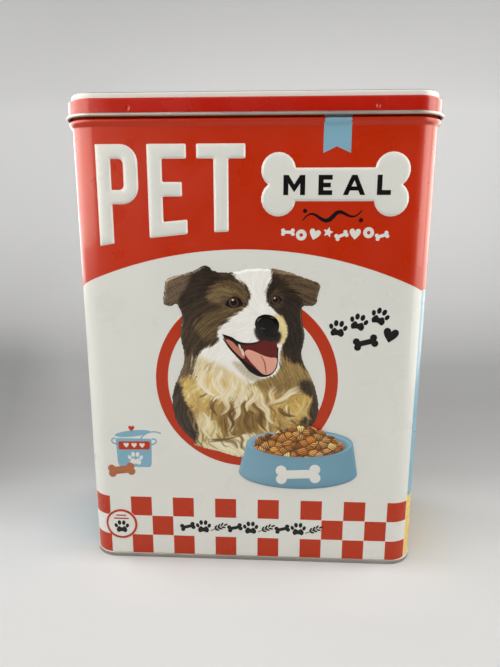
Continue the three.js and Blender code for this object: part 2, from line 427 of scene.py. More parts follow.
def grid_inside(loops, step, clear):
    """Points of an even grid inside the loops, at least clear away from them."""
    p = np.concatenate([np.array(loop) for loop in loops])
    us = np.arange(p[:, 0].min(), p[:, 0].max(), step)
    zs = np.arange(p[:, 1].min(), p[:, 1].max(), step * 0.866)
    grid = np.array([(u + (j % 2) * step / 2, z) for j, z in enumerate(zs) for u in us]).reshape(-1, 2)
    grid = grid[inside(loops, grid)]
    return grid[distance_to(loops, grid) > clear]


def inset_rings(loops, insets, slack=0.04):
    """Points that follow the loops at each inset, without those that would crowd a corner."""
    rings = []
    for loop in loops:
        p = np.array(loop, float)
        rings += [p - across_loop(p) * inset * way for inset in insets for way in (1, -1)]
    ring = np.concatenate(rings)
    ring = ring[inside(loops, ring)]
    gap = distance_to(loops, ring)
    return ring[np.min([abs(gap - inset) for inset in insets], axis=0) < slack]


def wall_out(z):
    """Where the outer surface of the wall is at a height: flat, then over the bead to the neck."""
    return np.interp(z, WALL_PROFILE[:, 1], WALL_PROFILE[:, 0])


def label_shape(name, flat, faces, proud, lift, slot, material, sharp=35, paint=None):
    """Makes a piece of a triangulated label shape that stands proud of the wall, or of what lifts it."""
    out = wall_out(flat[:, 1]) + lift
    top, bottom = (wrap(flat[:, 0], flat[:, 1], out + reach) for reach in (proud, SUNK))
    return add_piece(name, *slab(faces, top, bottom), "bin", slot, material, sharp, paint)


def print_patch(name, loops, level, ink, step=None, lift=0):
    """A flat shape of lacquer on the wall, as a thin closed layer."""
    loops = [finer(loop, 1.2) for loop in loops]
    if step is None and any(abs(u) > FLAT_X for loop in loops for u, _ in loop):
        step = 1.5
    flat, faces = fill(loops, grid_inside(loops, step, 0.4) if step else [])
    return label_shape(name, flat, faces, LAYER * level, lift, *ink)


def swelling(loops, insets, step, clear):
    """A triangulated shape with points enough to swell from its edge, and how far each is from that edge."""
    loops = [finer(loop, 0.8) for loop in loops]
    flat, faces = fill(loops, np.concatenate([inset_rings(loops, insets), grid_inside(loops, step, clear)]))
    return flat, faces, distance_to(loops, flat)


def relief(name, loops, height, shoulder, ink, level=2, step=2.5, lift=0):
    """A raised shape of lacquer: it swells from its edge to its height over the shoulder."""
    insets = shoulder * np.array([0.2, 0.4, 0.6, 0.8, 1.0])
    flat, faces, gap = swelling(loops, insets, step, shoulder + step * 0.4)
    proud = LAYER * level + height * ease(0, shoulder, gap)
    return label_shape(name, flat, faces, proud, lift, *ink, sharp=60)


def print_band(name, us, low, high, level, ink, closed=False):
    """A wide stretch of lacquer between two heights, each a function of u, that follows the bead."""
    rows = []
    for u in us:
        bottom, top = low(u), high(u)
        row = list(bottom + (min(top, BEAD_BOTTOM) - bottom) * np.linspace(0, 1, 7))
        if top > BEAD_BOTTOM:
            row += [z for z in WALL_PROFILE[:, 1] if BEAD_BOTTOM < z < top] + [top]
        rows.append(row)
    zs = np.array(rows)
    n, many = zs.shape
    top, bottom = (wrap(us[:, None], zs, wall_out(zs) + reach).reshape(-1, 3)
                   for reach in (LAYER * level, SUNK))
    faces = []
    for i in range(n if closed else n - 1):
        j = (i + 1) % n
        faces += [[i * many + k, j * many + k, j * many + k + 1, i * many + k + 1] for k in range(many - 1)]
    return add_piece(name, *slab(faces, top, bottom), "bin", *ink, sharp=50)


def cut(piece, boxes):
    """Takes boxes, each its lowest and highest corner, out of a piece."""
    for low, high in boxes:
        cutter_mesh = bpy.data.meshes.new("cutter")
        shape = bmesh.new()
        bmesh.ops.create_cube(shape, size=1)
        for vert in shape.verts:
            vert.co = Vector([(a + b) / 2 + c * (b - a) for a, b, c in zip(low, high, vert.co)]) * MM
        shape.to_mesh(cutter_mesh)
        shape.free()
        cutter = bpy.data.objects.new("cutter", cutter_mesh)
        bpy.context.scene.collection.objects.link(cutter)
        cutting = piece.modifiers.new("cut", "BOOLEAN")
        cutting.operation = "DIFFERENCE"
        cutting.solver = "EXACT"
        cutting.object = cutter
        bpy.context.view_layer.update()
        finished = piece.evaluated_get(bpy.context.evaluated_depsgraph_get())
        result = bpy.data.meshes.new_from_object(finished)
        piece.modifiers.clear()
        piece.data = result
        bpy.data.objects.remove(cutter)


# --- Materials ---


def linear(colours):
    """Display colours, 0 to 255, as linear ones."""
    c = np.clip(np.asarray(colours, float) / 255, 0, 1)
    return np.where(c <= 0.04045, c / 12.92, ((c + 0.055) / 1.055) ** 2.4)


def tint(*colour):
    """A display colour as the one that a shader takes."""
    return (*linear(colour), 1)


def shade(colour, factor):
    """A shader's colour made darker or lighter."""
    return tuple(min(1, c * factor) for c in colour[:3]) + (1,)


class Shader:
    """A node material under construction."""

    def __init__(self, name):
        self.material = bpy.data.materials.new(name)
        self.material.use_nodes = True
        self.nodes = self.material.node_tree.nodes
        self.surface = self.nodes["Principled BSDF"]
        self.place = self.nodes.new("ShaderNodeTexCoord").outputs["Object"]

    def put(self, value, socket):
        """Links an output to a socket, or sets the socket to a plain value."""
        if isinstance(value, bpy.types.NodeSocket):
            self.material.node_tree.links.new(value, socket)
        else:
            socket.default_value = value

    def set(self, socket, value):
        self.put(value, self.surface.inputs[socket])

    def add(self, kind, **inputs):
        """A node and the values of its inputs, named with _ for each space."""
        node = self.nodes.new(f"ShaderNode{kind}")
        for socket, value in inputs.items():
            self.put(value, node.inputs[socket.replace("_", " ")])
        return node

    def noise(self, scale, detail=3, stretch=(1, 1, 1), rough=0.5):
        mapped = self.add("Mapping", Scale=stretch, Vector=self.place).outputs["Vector"]
        return self.add("TexNoise", Scale=scale, Detail=detail, Roughness=rough, Vector=mapped).outputs["Fac"]

    def span(self, value, low, high, to_low, to_high):
        return self.add("MapRange", From_Min=low, From_Max=high, To_Min=to_low, To_Max=to_high,
                        Value=value).outputs["Result"]

    def math(self, operation, *values):
        node = self.add("Math")
        node.operation = operation
        for socket, value in zip(node.inputs, values):
            self.put(value, socket)
        return node.outputs["Value"]

    def blend(self, factor, a, b, way="MIX"):
        node = self.add("Mix")
        node.data_type = "RGBA"
        node.blend_type = way
        for number, value in ((0, factor), (6, a), (7, b)):
            self.put(value, node.inputs[number])
        return node.outputs[2]

    def bump(self, height, distance, strength=1.0, under=None):
        node = self.add("Bump", Distance=distance * MM, Strength=strength, Height=height)
        if under is not None:
            self.put(under, node.inputs["Normal"])
        return node.outputs["Normal"]


def lacquer(name, colour=None, gloss=0.3):
    """Printed lacquer over tin: faint mottling, fine grain, rubbed places, and the sheet's slight waviness.
    Without a colour it shows the paint of the piece."""
    look = Shader(name)
    if colour is None:
        painted = look.add("VertexColor")
        painted.layer_name = "paint"
        ground = painted.outputs["Color"]
    else:
        clouds = look.span(look.noise(22, 2), 0.35, 0.65, 0, 1)
        grain = look.span(look.noise(1500, 2), 0.3, 0.7, 0, 1)
        broad = look.blend(clouds, shade(colour, 0.975), shade(colour, 1.02))
        fine = look.blend(grain, shade(colour, 0.95), shade(colour, 1.04))
        ground = look.blend(0.35, broad, fine)
    scuffs = look.span(look.noise(340, 4, (0.25, 1, 1.6), 0.7), 0.64, 0.8, 0, 0.03)
    look.set("Base Color", look.blend(scuffs, ground, tint(214, 206, 196)))
    worn = look.span(look.noise(60, 4), 0.3, 0.7, gloss - 0.05, gloss + 0.08)
    look.set("Roughness", look.math("ADD", worn, scuffs))
    look.set("Coat Weight", 0.22)
    look.set("Coat Roughness", 0.1)
    look.set("Specular IOR Level", 0.26)
    waves = look.bump(look.noise(14, 1), 0.5, 0.35)
    look.set("Normal", look.bump(look.noise(1700, 2), 0.02, 0.25, waves))
    return look.material


def tinplate(name, colour, gloss):
    """Bright rolled steel with a drawn grain and a few dull patches."""
    look = Shader(name)
    grain = look.noise(500, 3, (0.06, 0.06, 1))
    dull = look.noise(35, 4)
    worn = look.span(dull, 0.3, 0.7, gloss - 0.06, gloss + 0.1)
    patches = look.span(dull, 0.3, 0.7, 0, 1)
    look.set("Base Color", look.blend(patches, shade(colour, 0.86), shade(colour, 1.1)))
    look.set("Metallic", 1.0)
    look.set("Roughness", look.math("ADD", worn, look.span(grain, 0.3, 0.7, 0, 0.08)))
    look.set("Normal", look.bump(grain, 0.02, 0.4, look.bump(look.noise(30, 2), 0.3, 0.3)))
    return look.material


def ink(slot, name, *colour, gloss=0.3):
    """A finish: a slot of the record and a lacquer in a display colour."""
    return slot, lacquer(f"{name}_lacquer", tint(*colour), gloss)


# Finishes of pieces: each is a slot of the record and a material.
CREAM = ink("print_cream", "cream", 226, 225, 216)
WALL_CREAM = ("printed_wall", CREAM[1])
RED = ink("print_red", "red", 192, 42, 0)
LID_RED = ink("printed_lid", "lid_red", 185, 28, 8, gloss=0.22)
CHECK_RED = ink("print_red", "check_red", 185, 48, 2)
BLUE = ink("print_blue", "blue", 130, 174, 192)
YELLOW = ink("print_yellow", "yellow", 240, 200, 84)
BLACK = ink("print_black", "black", 10, 9, 9)
EDGE_REFLECTION_GREY = ink("print_black", "edge_reflection_grey", 84, 76, 72)
# A painted reflection: the grey of the thin line on the bend at the lid's top edge, where the red top turns
# over it.
BROWN = ink("print_brown", "brown", 176, 104, 66)
BARE_TIN = ("bare_tinplate", tinplate("bare_tinplate", tint(160, 157, 152), 0.54))
WIRE_STEEL = tinplate("wire_steel", tint(180, 181, 183), 0.22)

# --- Body wall ---


def wall_path():
    """The middle of the wall's sheet, from the floor up over the bead and round the neck's curl."""
    neck = -NECK_INSET - HALF_SHEET
    peak = BEAD_PROUD - HALF_SHEET
    path = [(-HALF_SHEET, WALL_FOOT), (-HALF_SHEET, BEAD_BOTTOM)]
    path += bezier((-HALF_SHEET, BEAD_BOTTOM), (-HALF_SHEET, BEAD_BOTTOM + 0.8),
                   (peak, BEAD_PEAK - 1.3), (peak, BEAD_PEAK), 10)[1:]
    path += bezier((peak, BEAD_PEAK), (peak, BEAD_PEAK + 1.6),
                   (neck, BEAD_TOP - 0.9), (neck, BEAD_TOP), 10)[1:]
    return path + arc(neck - NECK_CURL, NECK_TOP - NECK_CURL - HALF_SHEET, NECK_CURL, 0, 270, 16)


def profile_above_floor():
    """The (out, z) line of the wall's outer surface up to the start of the neck's curl."""
    outer = offset_line(wall_path(), HALF_SHEET)
    rising = outer[: int(np.argmax(outer[:, 1] > NECK_TOP - 1))]
    return np.vstack([(0, 0), rising])


WALL_PROFILE = profile_above_floor()


def hinge_boxes(outs, zs):
    """A box at each hinge, between two distances out from the rear and between two heights."""
    reach = HINGE_WIDTH / 2 + HINGE_SIDE_GAP
    return [((x - reach, REAR + outs[0], zs[0]), (x + reach, REAR + outs[1], zs[1])) for x in HINGES.values()]


HINGE_WINDOWS = hinge_boxes((-WINDOW_REACH, WINDOW_REACH), WINDOW_Z)


def add_wall():
    wall = add_piece("wall_sheet", *hoop(sheet_outline(wall_path()), columns()), "bin", *BARE_TIN)
    cut(wall, HINGE_WINDOWS)
    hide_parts("body_wall")


def add_lock_seam():
    """The folded joint of the wrapped sheet, inside the rear wall."""
    half, thick = LOCK_SEAM_WIDTH / 2, LOCK_SEAM_THICKNESS
    section = rounded([(-half, 0), (half, 0), (half, thick), (-half, thick)], 0.25, 5)
    foot, head = ([(x, REAR - HALF_SHEET - depth, z) for x, depth in section] for z in LOCK_SEAM_Z)
    add_piece("lock_seam", *prism(foot, head), "bin", *BARE_TIN)


def add_bottom():
    """The seamed-on bottom: an outer hook, the seam's inner wall, the recess and the stiffening panel."""
    outer, inner = SEAM_OUT - HALF_SHEET, SEAM_INNER_OUT + HALF_SHEET
    foot, panel = SEAM_BEND + HALF_SHEET, inner - PANEL_MARGIN
    raised = PANEL_RECESS + PANEL_RISE
    path = arc(outer - SEAM_LIP, SEAM_HEIGHT - SEAM_LIP - HALF_SHEET, SEAM_LIP, 90, 0, 4)
    path += arc(outer - SEAM_BEND, foot, SEAM_BEND, 0, -90, 4)
    path += arc(inner + SEAM_BEND, foot, SEAM_BEND, -90, -180, 4)
    path += arc(inner - SEAM_BEND, PANEL_RECESS - SEAM_BEND, SEAM_BEND, 0, 90, 4)
    path += [(panel, PANEL_RECESS), (panel - 1, raised), (panel - 3, raised)]
    outline = sheet_outline(path)
    last = len(outline) // 2
    bottom = add_piece("bottom_pan", *hoop(outline, columns(), (last - 1, last)), "bin", *BARE_TIN)
    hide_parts("bottom_end")


# --- Lid ---

LID_SKIRT = SKIRT_OUT - HALF_SHEET
LID_TIER = -TIER_INSET - HALF_SHEET
LID_LEDGE = LEDGE_TOP - HALF_SHEET
LID_TOP = HEIGHT - HALF_SHEET - 3 * LAYER


def tier_edge(start, end, steps):
    """The bend between the top panel and the tier, or a stretch of it."""
    return arc(LID_TIER - TIER_EDGE, LID_TOP - TIER_EDGE, TIER_EDGE, start, end, steps)


def tier_path():
    """The middle of the sheet from the top panel and over the tier's edge."""
    return [(LID_TIER - TOP_RIM, LID_TOP)] + tier_edge(90, 0, 8) + [(LID_TIER, LID_LEDGE + TIER_LOW)]


def skirt_path():
    """The middle of the sheet from the tier's foot, over the ledge and down the skirt past the nibs."""
    foot = arc(LID_TIER + TIER_FOOT, LID_LEDGE + TIER_FOOT, TIER_FOOT, 180, 270, 5)
    edge = arc(LID_SKIRT - LEDGE_EDGE, LID_LEDGE - LEDGE_EDGE, LEDGE_EDGE, 90, 0, 6)
    return foot + edge + [(LID_SKIRT, z) for z in np.arange(NIB_Z + NIB_AREA, NIB_Z - NIB_AREA, -0.3)]


def dented_hoop(outline, middle=None):
    """A hoop of the lid's sheet with two snap nibs pressed into the front of the skirt."""
    near = np.arange(-3, 3.01, 0.3)
    us = in_order(columns(), (near - NIB_X) % GIRTH, (near + NIB_X) % GIRTH, digits=5)
    points, faces = hoop(outline, us, middle)
    front = points[:, 1] < -DEPTH / 2
    for x in (-NIB_X, NIB_X):
        away = np.hypot(points[front, 0] - x, points[front, 2] - NIB_Z)
        points[front, 1] += NIB_DEPTH * ease(NIB_RADIUS, 0.1, away)
    return points, faces


def add_lid():
    curl = arc(LID_SKIRT + LID_CURL, SKIRT_BOTTOM + LID_CURL + HALF_SHEET, LID_CURL, 180, 470, 18)
    outline = sheet_outline(tier_path() + skirt_path() + curl)
    lid = add_piece("lid_sheet", *dented_hoop(outline, (0, len(outline) - 1)), "lid", *BARE_TIN)
    cut(lid, hinge_boxes(NOTCH_OUTS, (SKIRT_BOTTOM - 1, NOTCH_TOP)))
    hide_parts("lid_shell")


def add_tongues():
    """Two strips in line with the skirt, each rolled round its hinge wire."""
    strip = [(AXIS_OUT + TONGUE_ROLL, NOTCH_TOP + TONGUE_LAP)]
    outline = sheet_outline(strip + arc(AXIS_OUT, AXIS_Z, TONGUE_ROLL, 0, -290, 26))
    for side, x in HINGES.items():
        ends = (x - HINGE_WIDTH / 2, x + HINGE_WIDTH / 2)
        sections = ([(end, REAR + out, z) for out, z in outline] for end in ends)
        add_piece(f"hinge_tongue_{side}", *prism(*sections), "lid", *LID_RED)


def add_lid_layer(name, path, level, ink):
    """A thin closed layer of lacquer on the outer side of the lid's sheet."""
    top, bottom = (offset_line(path, -HALF_SHEET - reach) for reach in (LAYER * level, SUNK))
    add_piece(name, *dented_hoop(np.vstack([top, bottom[::-1]])), "lid", *ink)


def add_lid_print():
    """Red skirt, cream tier and a red top, with a thin dark grey line on the bend round the top's edge:
    partly the red of the top turning over the bend, partly a painted reflection that greys it.
    """
    add_lid_layer("lid_print_skirt", skirt_path(), 1, LID_RED)
    add_lid_layer("lid_print_tier", tier_path(), 1, CREAM)
    # The red top turning over the bend, drawn as a thin grey line: a painted reflection.
    add_lid_layer("lid_edge_reflection_line", tier_edge(82, 44, 4), 2, EDGE_REFLECTION_GREY)
    edge = LID_TIER - TIER_EDGE - 0.2
    top, bottom = (wrap(columns(), z, edge) for z in (HEIGHT - LAYER, HEIGHT - 0.2))
    add_piece("lid_print_top", *prism(top, bottom), "lid", *LID_RED)


add_wall()
add_lock_seam()
add_bottom()
add_lid()
add_tongues()
add_lid_print()
for side in HINGES:
    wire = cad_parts[f"hinge_wire_{side}"]
    wire.data.materials.clear()
    wire.data.materials.append(WIRE_STEEL)

# --- Fields of colour ---

ARCH_TOP = 182.6
ARCH_RADIUS = 217
ARCH_MIDDLE = -3
SIDE_RED_LOW = 161.5
FIELD_LOW = 1.5
FOOT_FIELD_TOP = 42
NECK_PRINT = 254
FRONT_ENDS = (-LEFT_PRINT_CORNER, PRINT_CORNER)
REAR_ENDS = (REAR_MIDDLE - PRINT_CORNER, REAR_MIDDLE + PRINT_CORNER)


def arch(away):
    return ARCH_TOP - ARCH_RADIUS + math.sqrt(ARCH_RADIUS**2 - away**2)


def red_low(u):
    """Where the red ends at a place along the girth: an arch in front and behind, level at the sides."""
    u = (u + GIRTH / 2) % GIRTH - GIRTH / 2
    if FRONT_ENDS[0] <= u <= FRONT_ENDS[1]:
        return arch(u - ARCH_MIDDLE)
    rear = abs(u) - REAR_MIDDLE
    return arch(rear) if abs(rear) <= PRINT_CORNER else SIDE_RED_LOW


def between(start, end):
    """Columns from start to end, closer together round the corners."""
    inner = [u for turn in (-GIRTH, 0, GIRTH) for u in columns() + turn if start < u < end]
    return in_order([start], inner, np.arange(start, end, 3), [end])


def add_fields():
    """Red above, cream in front and behind, blue at the sides, and a yellow foot on the right side."""
    front_start, front_end = FRONT_ENDS
    rear_start, rear_end = REAR_ENDS
    jumps = ((front_end, 0.01), (rear_start, -0.01), (rear_end, 0.01), (GIRTH + front_start, -0.01))
    us = in_order(columns(flat_step=4), [u + past for u, beyond in jumps for past in (0, beyond)])
    field = print_band("print_red_field", us, red_low, lambda u: NECK_PRINT, 2, RED, closed=True)
    cut(field, HINGE_WINDOWS)
    fields = (("front", front_start, front_end, WALL_CREAM), ("rear", rear_start, rear_end, WALL_CREAM),
              ("right", front_end, rear_start, BLUE), ("left", rear_end, GIRTH + front_start, BLUE))
    for side, start, end, ink in fields:
        us = between(start, end)
        print_band(f"print_{side}_field", us, lambda u: FIELD_LOW, lambda u: red_low(u) + 2, 1, ink)
        if side == "right":
            print_band("print_right_foot", us, lambda u: FIELD_LOW, lambda u: FOOT_FIELD_TOP, 2, YELLOW)


add_fields()

# --- Checks, ring and ribbon ---

CHECK = 12.44
CHECK_START = -58.2
CHECK_ROWS = (2.4, 14.5, 27.0, 39.2)
CHECK_GAP = 0.05
RING_U, RING_Z = -2.6, 110.7
RING_RADII = (50.3, 43.6)


def check(left, row, low_end, high_end):
    left, right = max(left, low_end) + CHECK_GAP, min(left + CHECK, high_end) - CHECK_GAP
    low, high = CHECK_ROWS[row] + CHECK_GAP, CHECK_ROWS[row + 1] - CHECK_GAP
    return [(left, low), (right, low), (right, high), (left, high)]


def add_checks():
    """Checks along the foot. The middle row of the front leaves room for its motifs."""
    places = [(column, row) for row in (0, 2) for column in range(-3, 12, 2)] + [(0, 1), (8, 1), (10, 1)]
    loops = [check(CHECK_START + CHECK * column, row, *FRONT_ENDS) for column, row in places]
    print_patch("print_front_checks", loops, 2, CHECK_RED)
    places = [(column, row) for row in range(3) for column in range(-6, 8) if (column + row) % 2]
    loops = [check(REAR_MIDDLE + CHECK * (column - 0.5), row, *REAR_ENDS) for column, row in places]
    print_patch("print_rear_checks", loops, 2, CHECK_RED)


def add_rings():
    """A red ring behind the dog, and another on the rear."""
    for side, u in (("front", RING_U), ("rear", REAR_MIDDLE)):
        loops = [circle(u, RING_Z, radius, 120) for radius in RING_RADII]
        print_patch(f"print_{side}_ring", loops, 2, CHECK_RED, step=4)


def add_ribbon():
    """A swallow-tailed ribbon that hangs from the neck."""
    left, right, low, high = 36, 49.8, 230.4, 253
    loop = [(left, low), (42.7, 233.5), (right, low), (right, high), (left, high)]
    print_patch("print_ribbon", [loop], 3, BLUE, step=0.5)


add_checks()
add_rings()
add_ribbon()

# --- Embossed lettering and bone ---

EMBOSS = 0.75
LETTER_TOP = 235.2
LETTER_CORNER = 0.9
STROKE = 7.6
BAR = 7.2


def letter_floor(x):
    """The foot of the letters, which rises towards the middle of the front."""
    return 192 - (x - 5) ** 2 / 914


def bowl_bends(right, low, high, radius, steps):
    """The two bends on the right of the bowl of a letter."""
    x = right - radius
    return arc(x, low + radius, radius, -90, 0, steps) + arc(x, high - radius, radius, 0, 90, steps)


def letter_p():
    left, right, low = -79.9, -58.3, 205.5
    stem = left + STROKE
    outer = [(left, letter_floor(left)), (stem, letter_floor(stem)), (stem, low)]
    outer += bowl_bends(right, low, LETTER_TOP, 9, 8) + [(left, LETTER_TOP)]
    inner = bowl_bends(right - STROKE, low + BAR, LETTER_TOP - BAR, 2.5, 5)
    return [outer, [(stem, low + BAR)] + inner + [(stem, LETTER_TOP - BAR)]]


def letter_e():
    left, right, middle, foot = -53.4, -33.2, 213, 7.4
    stem, short = left + STROKE, right - 2.5
    return [rounded([
        (left, letter_floor(left)), (right, letter_floor(right)), (right, letter_floor(right) + foot),
        (stem, letter_floor(stem) + foot), (stem, middle - BAR / 2), (short, middle - BAR / 2),
        (short, middle + BAR / 2), (stem, middle + BAR / 2), (stem, LETTER_TOP - BAR),
        (right, LETTER_TOP - BAR), (right, LETTER_TOP), (left, LETTER_TOP),
    ], LETTER_CORNER)]


def letter_t():
    left, right = -28, -3
    stem = (left + right - STROKE) / 2
    return [rounded([
        (stem, letter_floor(stem)), (stem + STROKE, letter_floor(stem + STROKE)),
        (stem + STROKE, LETTER_TOP - BAR), (right, LETTER_TOP - BAR), (right, LETTER_TOP),
        (left, LETTER_TOP), (left, LETTER_TOP - BAR), (stem, LETTER_TOP - BAR),
    ], LETTER_CORNER)]


def bone(x, z, half_length, half_gap, lobe, half_shaft, tilt=0, steps=14):
    """A bone: a shaft with two round lobes at each end."""
    join = math.degrees(math.asin((half_shaft - half_gap) / lobe))
    notch = math.degrees(math.asin(-half_gap / lobe))
    quarter = arc(half_length, half_gap, lobe, 180 - join, notch, steps)
    top = quarter + [(px, -pz) for px, pz in quarter[-2::-1]]
    return turned(top + [(-px, -pz) for px, pz in top], tilt, (x, z))


for name, loops in (("p", letter_p()), ("e", letter_e()), ("t", letter_t())):
    relief(f"emboss_letter_{name}", loops, EMBOSS, 1.0, CREAM)
relief("emboss_bone", [bone(42.4, 215.2, 28.6, 7.0, 8.8, 8.2)], EMBOSS, 1.2, CREAM)

# --- Painted pictures ---


class Canvas:
    """Colours laid one over another at the points of a printed picture."""

    def __init__(self, points, ground):
        self.points = np.asarray(points, float)
        self.colours = np.zeros((len(points), 3)) + ground

    def lay(self, weight, colours):
        weight = np.clip(weight, 0, 1)[:, None]
        self.colours = self.colours * (1 - weight) + np.asarray(colours, float) * weight

    def field(self, outline, colours, soft, frays):
        """Fills an outline. Its edge is blurred by soft and moved in or out by the frays."""
        way = np.where(inside([outline], self.points), 1, -1)
        self.lay(ease(-soft, soft, way * distance_to([outline], self.points) + frays), colours)

    def line(self, path, width, colour, soft, strength):
        """A stroke along an open path that tapers to both ends."""
        p = np.array(path, float)
        reach = width + 1
        near = np.flatnonzero(np.all((self.points > p.min(0) - reach) & (self.points < p.max(0) + reach), 1))
        a, along = p[:-1], np.diff(p, axis=0)
        q = self.points[near]
        t = np.clip(((q[:, None] - a) * along).sum(2) / np.maximum((along**2).sum(1), 1e-9), 0, 1)
        away = np.linalg.norm(q[:, None] - (a + along * t[..., None]), axis=2)
        nearest = away.argmin(1)
        share = (nearest + t[np.arange(len(q)), nearest]) / len(a)
        half = width / 2 * np.sqrt(np.clip(4 * share * (1 - share), 0, 1))
        weight = np.zeros(len(self.points))
        weight[near] = strength * ease(half + soft, half - soft, away.min(1))
        self.lay(weight, colour)


class Hair:
    """The way hair lies over a picture, from a few comb marks, and the streaks that it makes."""

    def __init__(self, marks, low, high, step=0.3, length=12, seed=3):
        self.marks = np.array(marks, float)
        self.low, self.step = np.array(low, float), step
        nx, nz = (int((b - a) / step) + 2 for a, b in zip(low, high))
        grid = np.stack(np.meshgrid(np.arange(nx), np.arange(nz)), -1).reshape(-1, 2)
        speckle = np.random.default_rng(seed).random(nx * nz)
        headings = self.flow(self.low + grid * step)
        total = np.zeros(len(grid))
        for way in (1, -1):
            place, cell = grid.astype(float), np.arange(len(grid))
            for _ in range(length):
                place = np.clip(place + way * headings[cell], 0, [nx - 1, nz - 1])
                cell = np.round(place).astype(int) @ [1, nx]
                total += speckle[cell]
        self.streaks = ((total - total.mean()) / total.std()).reshape(nz, nx)

    def flow(self, points):
        """Which way the hair runs at each point."""
        away = ((points[:, None] - self.marks[:, :2]) ** 2).sum(2) + 9
        pull = (self.marks[:, 2:] / away[..., None] ** 1.5).sum(1)
        return pull / np.maximum(np.linalg.norm(pull, axis=1), 1e-9)[:, None]

    def at(self, points):
        """The streaks at each point, from -1 to 1."""
        place = (np.asarray(points) - self.low) / self.step
        corner = np.clip(np.floor(place).astype(int), 0, np.array(self.streaks.shape[::-1]) - 2)
        fx, fz = (place - corner).T
        x, z = corner.T
        s = self.streaks
        mixed = ((s[z, x] * (1 - fx) + s[z, x + 1] * fx) * (1 - fz)
                 + (s[z + 1, x] * (1 - fx) + s[z + 1, x + 1] * fx) * fz)
        return np.clip(mixed / 2, -1, 1)


def frayed(loop, depth, pitch, seed):
    """A loop whose edge breaks up into small tufts."""
    p = np.array(finer(loop, pitch))
    reach = np.random.default_rng(seed).uniform(-0.6, 1, len(p)) * depth
    return [tuple(q) for q in p + across_loop(p) * reach[:, None]]


painted_lacquer = lacquer("painted_lacquer", gloss=0.36)


def painted_relief(name, loops, height, shoulder, slot, paint, level=3, step=0.5, lift=0):
    """A raised picture: paint gives each point its display colour and how much further it stands out."""
    insets = shoulder * np.array([0.25, 0.5, 0.75])
    flat, faces, gap = swelling(loops, insets, step, shoulder * 0.85)
    colours, swell = paint(flat, gap)
    proud = LAYER * level + height * ease(0, shoulder, gap) + swell
    shown = np.concatenate([linear(colours)] * 2)
    label_shape(name, flat, faces, proud, lift, slot, painted_lacquer, 60, shown)

# --- The dog ---

DOG_LOW, DOG_HIGH = (-50, 63), (40, 177)
DOG_RELIEF = 0.55

DOG = [
    (-47.2, 154), (-46.6, 161), (-45.2, 166.8), (-39, 169), (-32, 170.8), (-27, 173.2), (-23.5, 174.2),
    (-20, 171.4), (-14, 170.4), (-7, 171.2), (0, 172.6), (8, 172.6), (14, 172.4), (21, 170.6), (29, 167.6),
    (35.2, 165.4), (36.4, 162.6), (35.2, 158), (34.6, 154), (31.5, 152.9), (28, 153), (27, 149.5),
    (27.6, 144), (29, 137), (28, 131), (27.6, 125), (29.8, 119.5), (33, 113.5), (35.8, 106), (37.4, 98),
    (37, 91), (34, 85), (29, 80), (18, 74), (6, 68), (-5, 65.6), (-14, 67.6), (-24, 70.2), (-31.5, 72.4),
    (-33.5, 76), (-38.5, 81), (-42, 87), (-43.8, 93.5), (-44, 100), (-42.6, 107), (-39.6, 114), (-37, 121),
    (-36.8, 127), (-38.2, 133), (-38.6, 140), (-37.4, 146.5), (-38.6, 150.6), (-40.4, 153.4), (-44, 152.2),
]

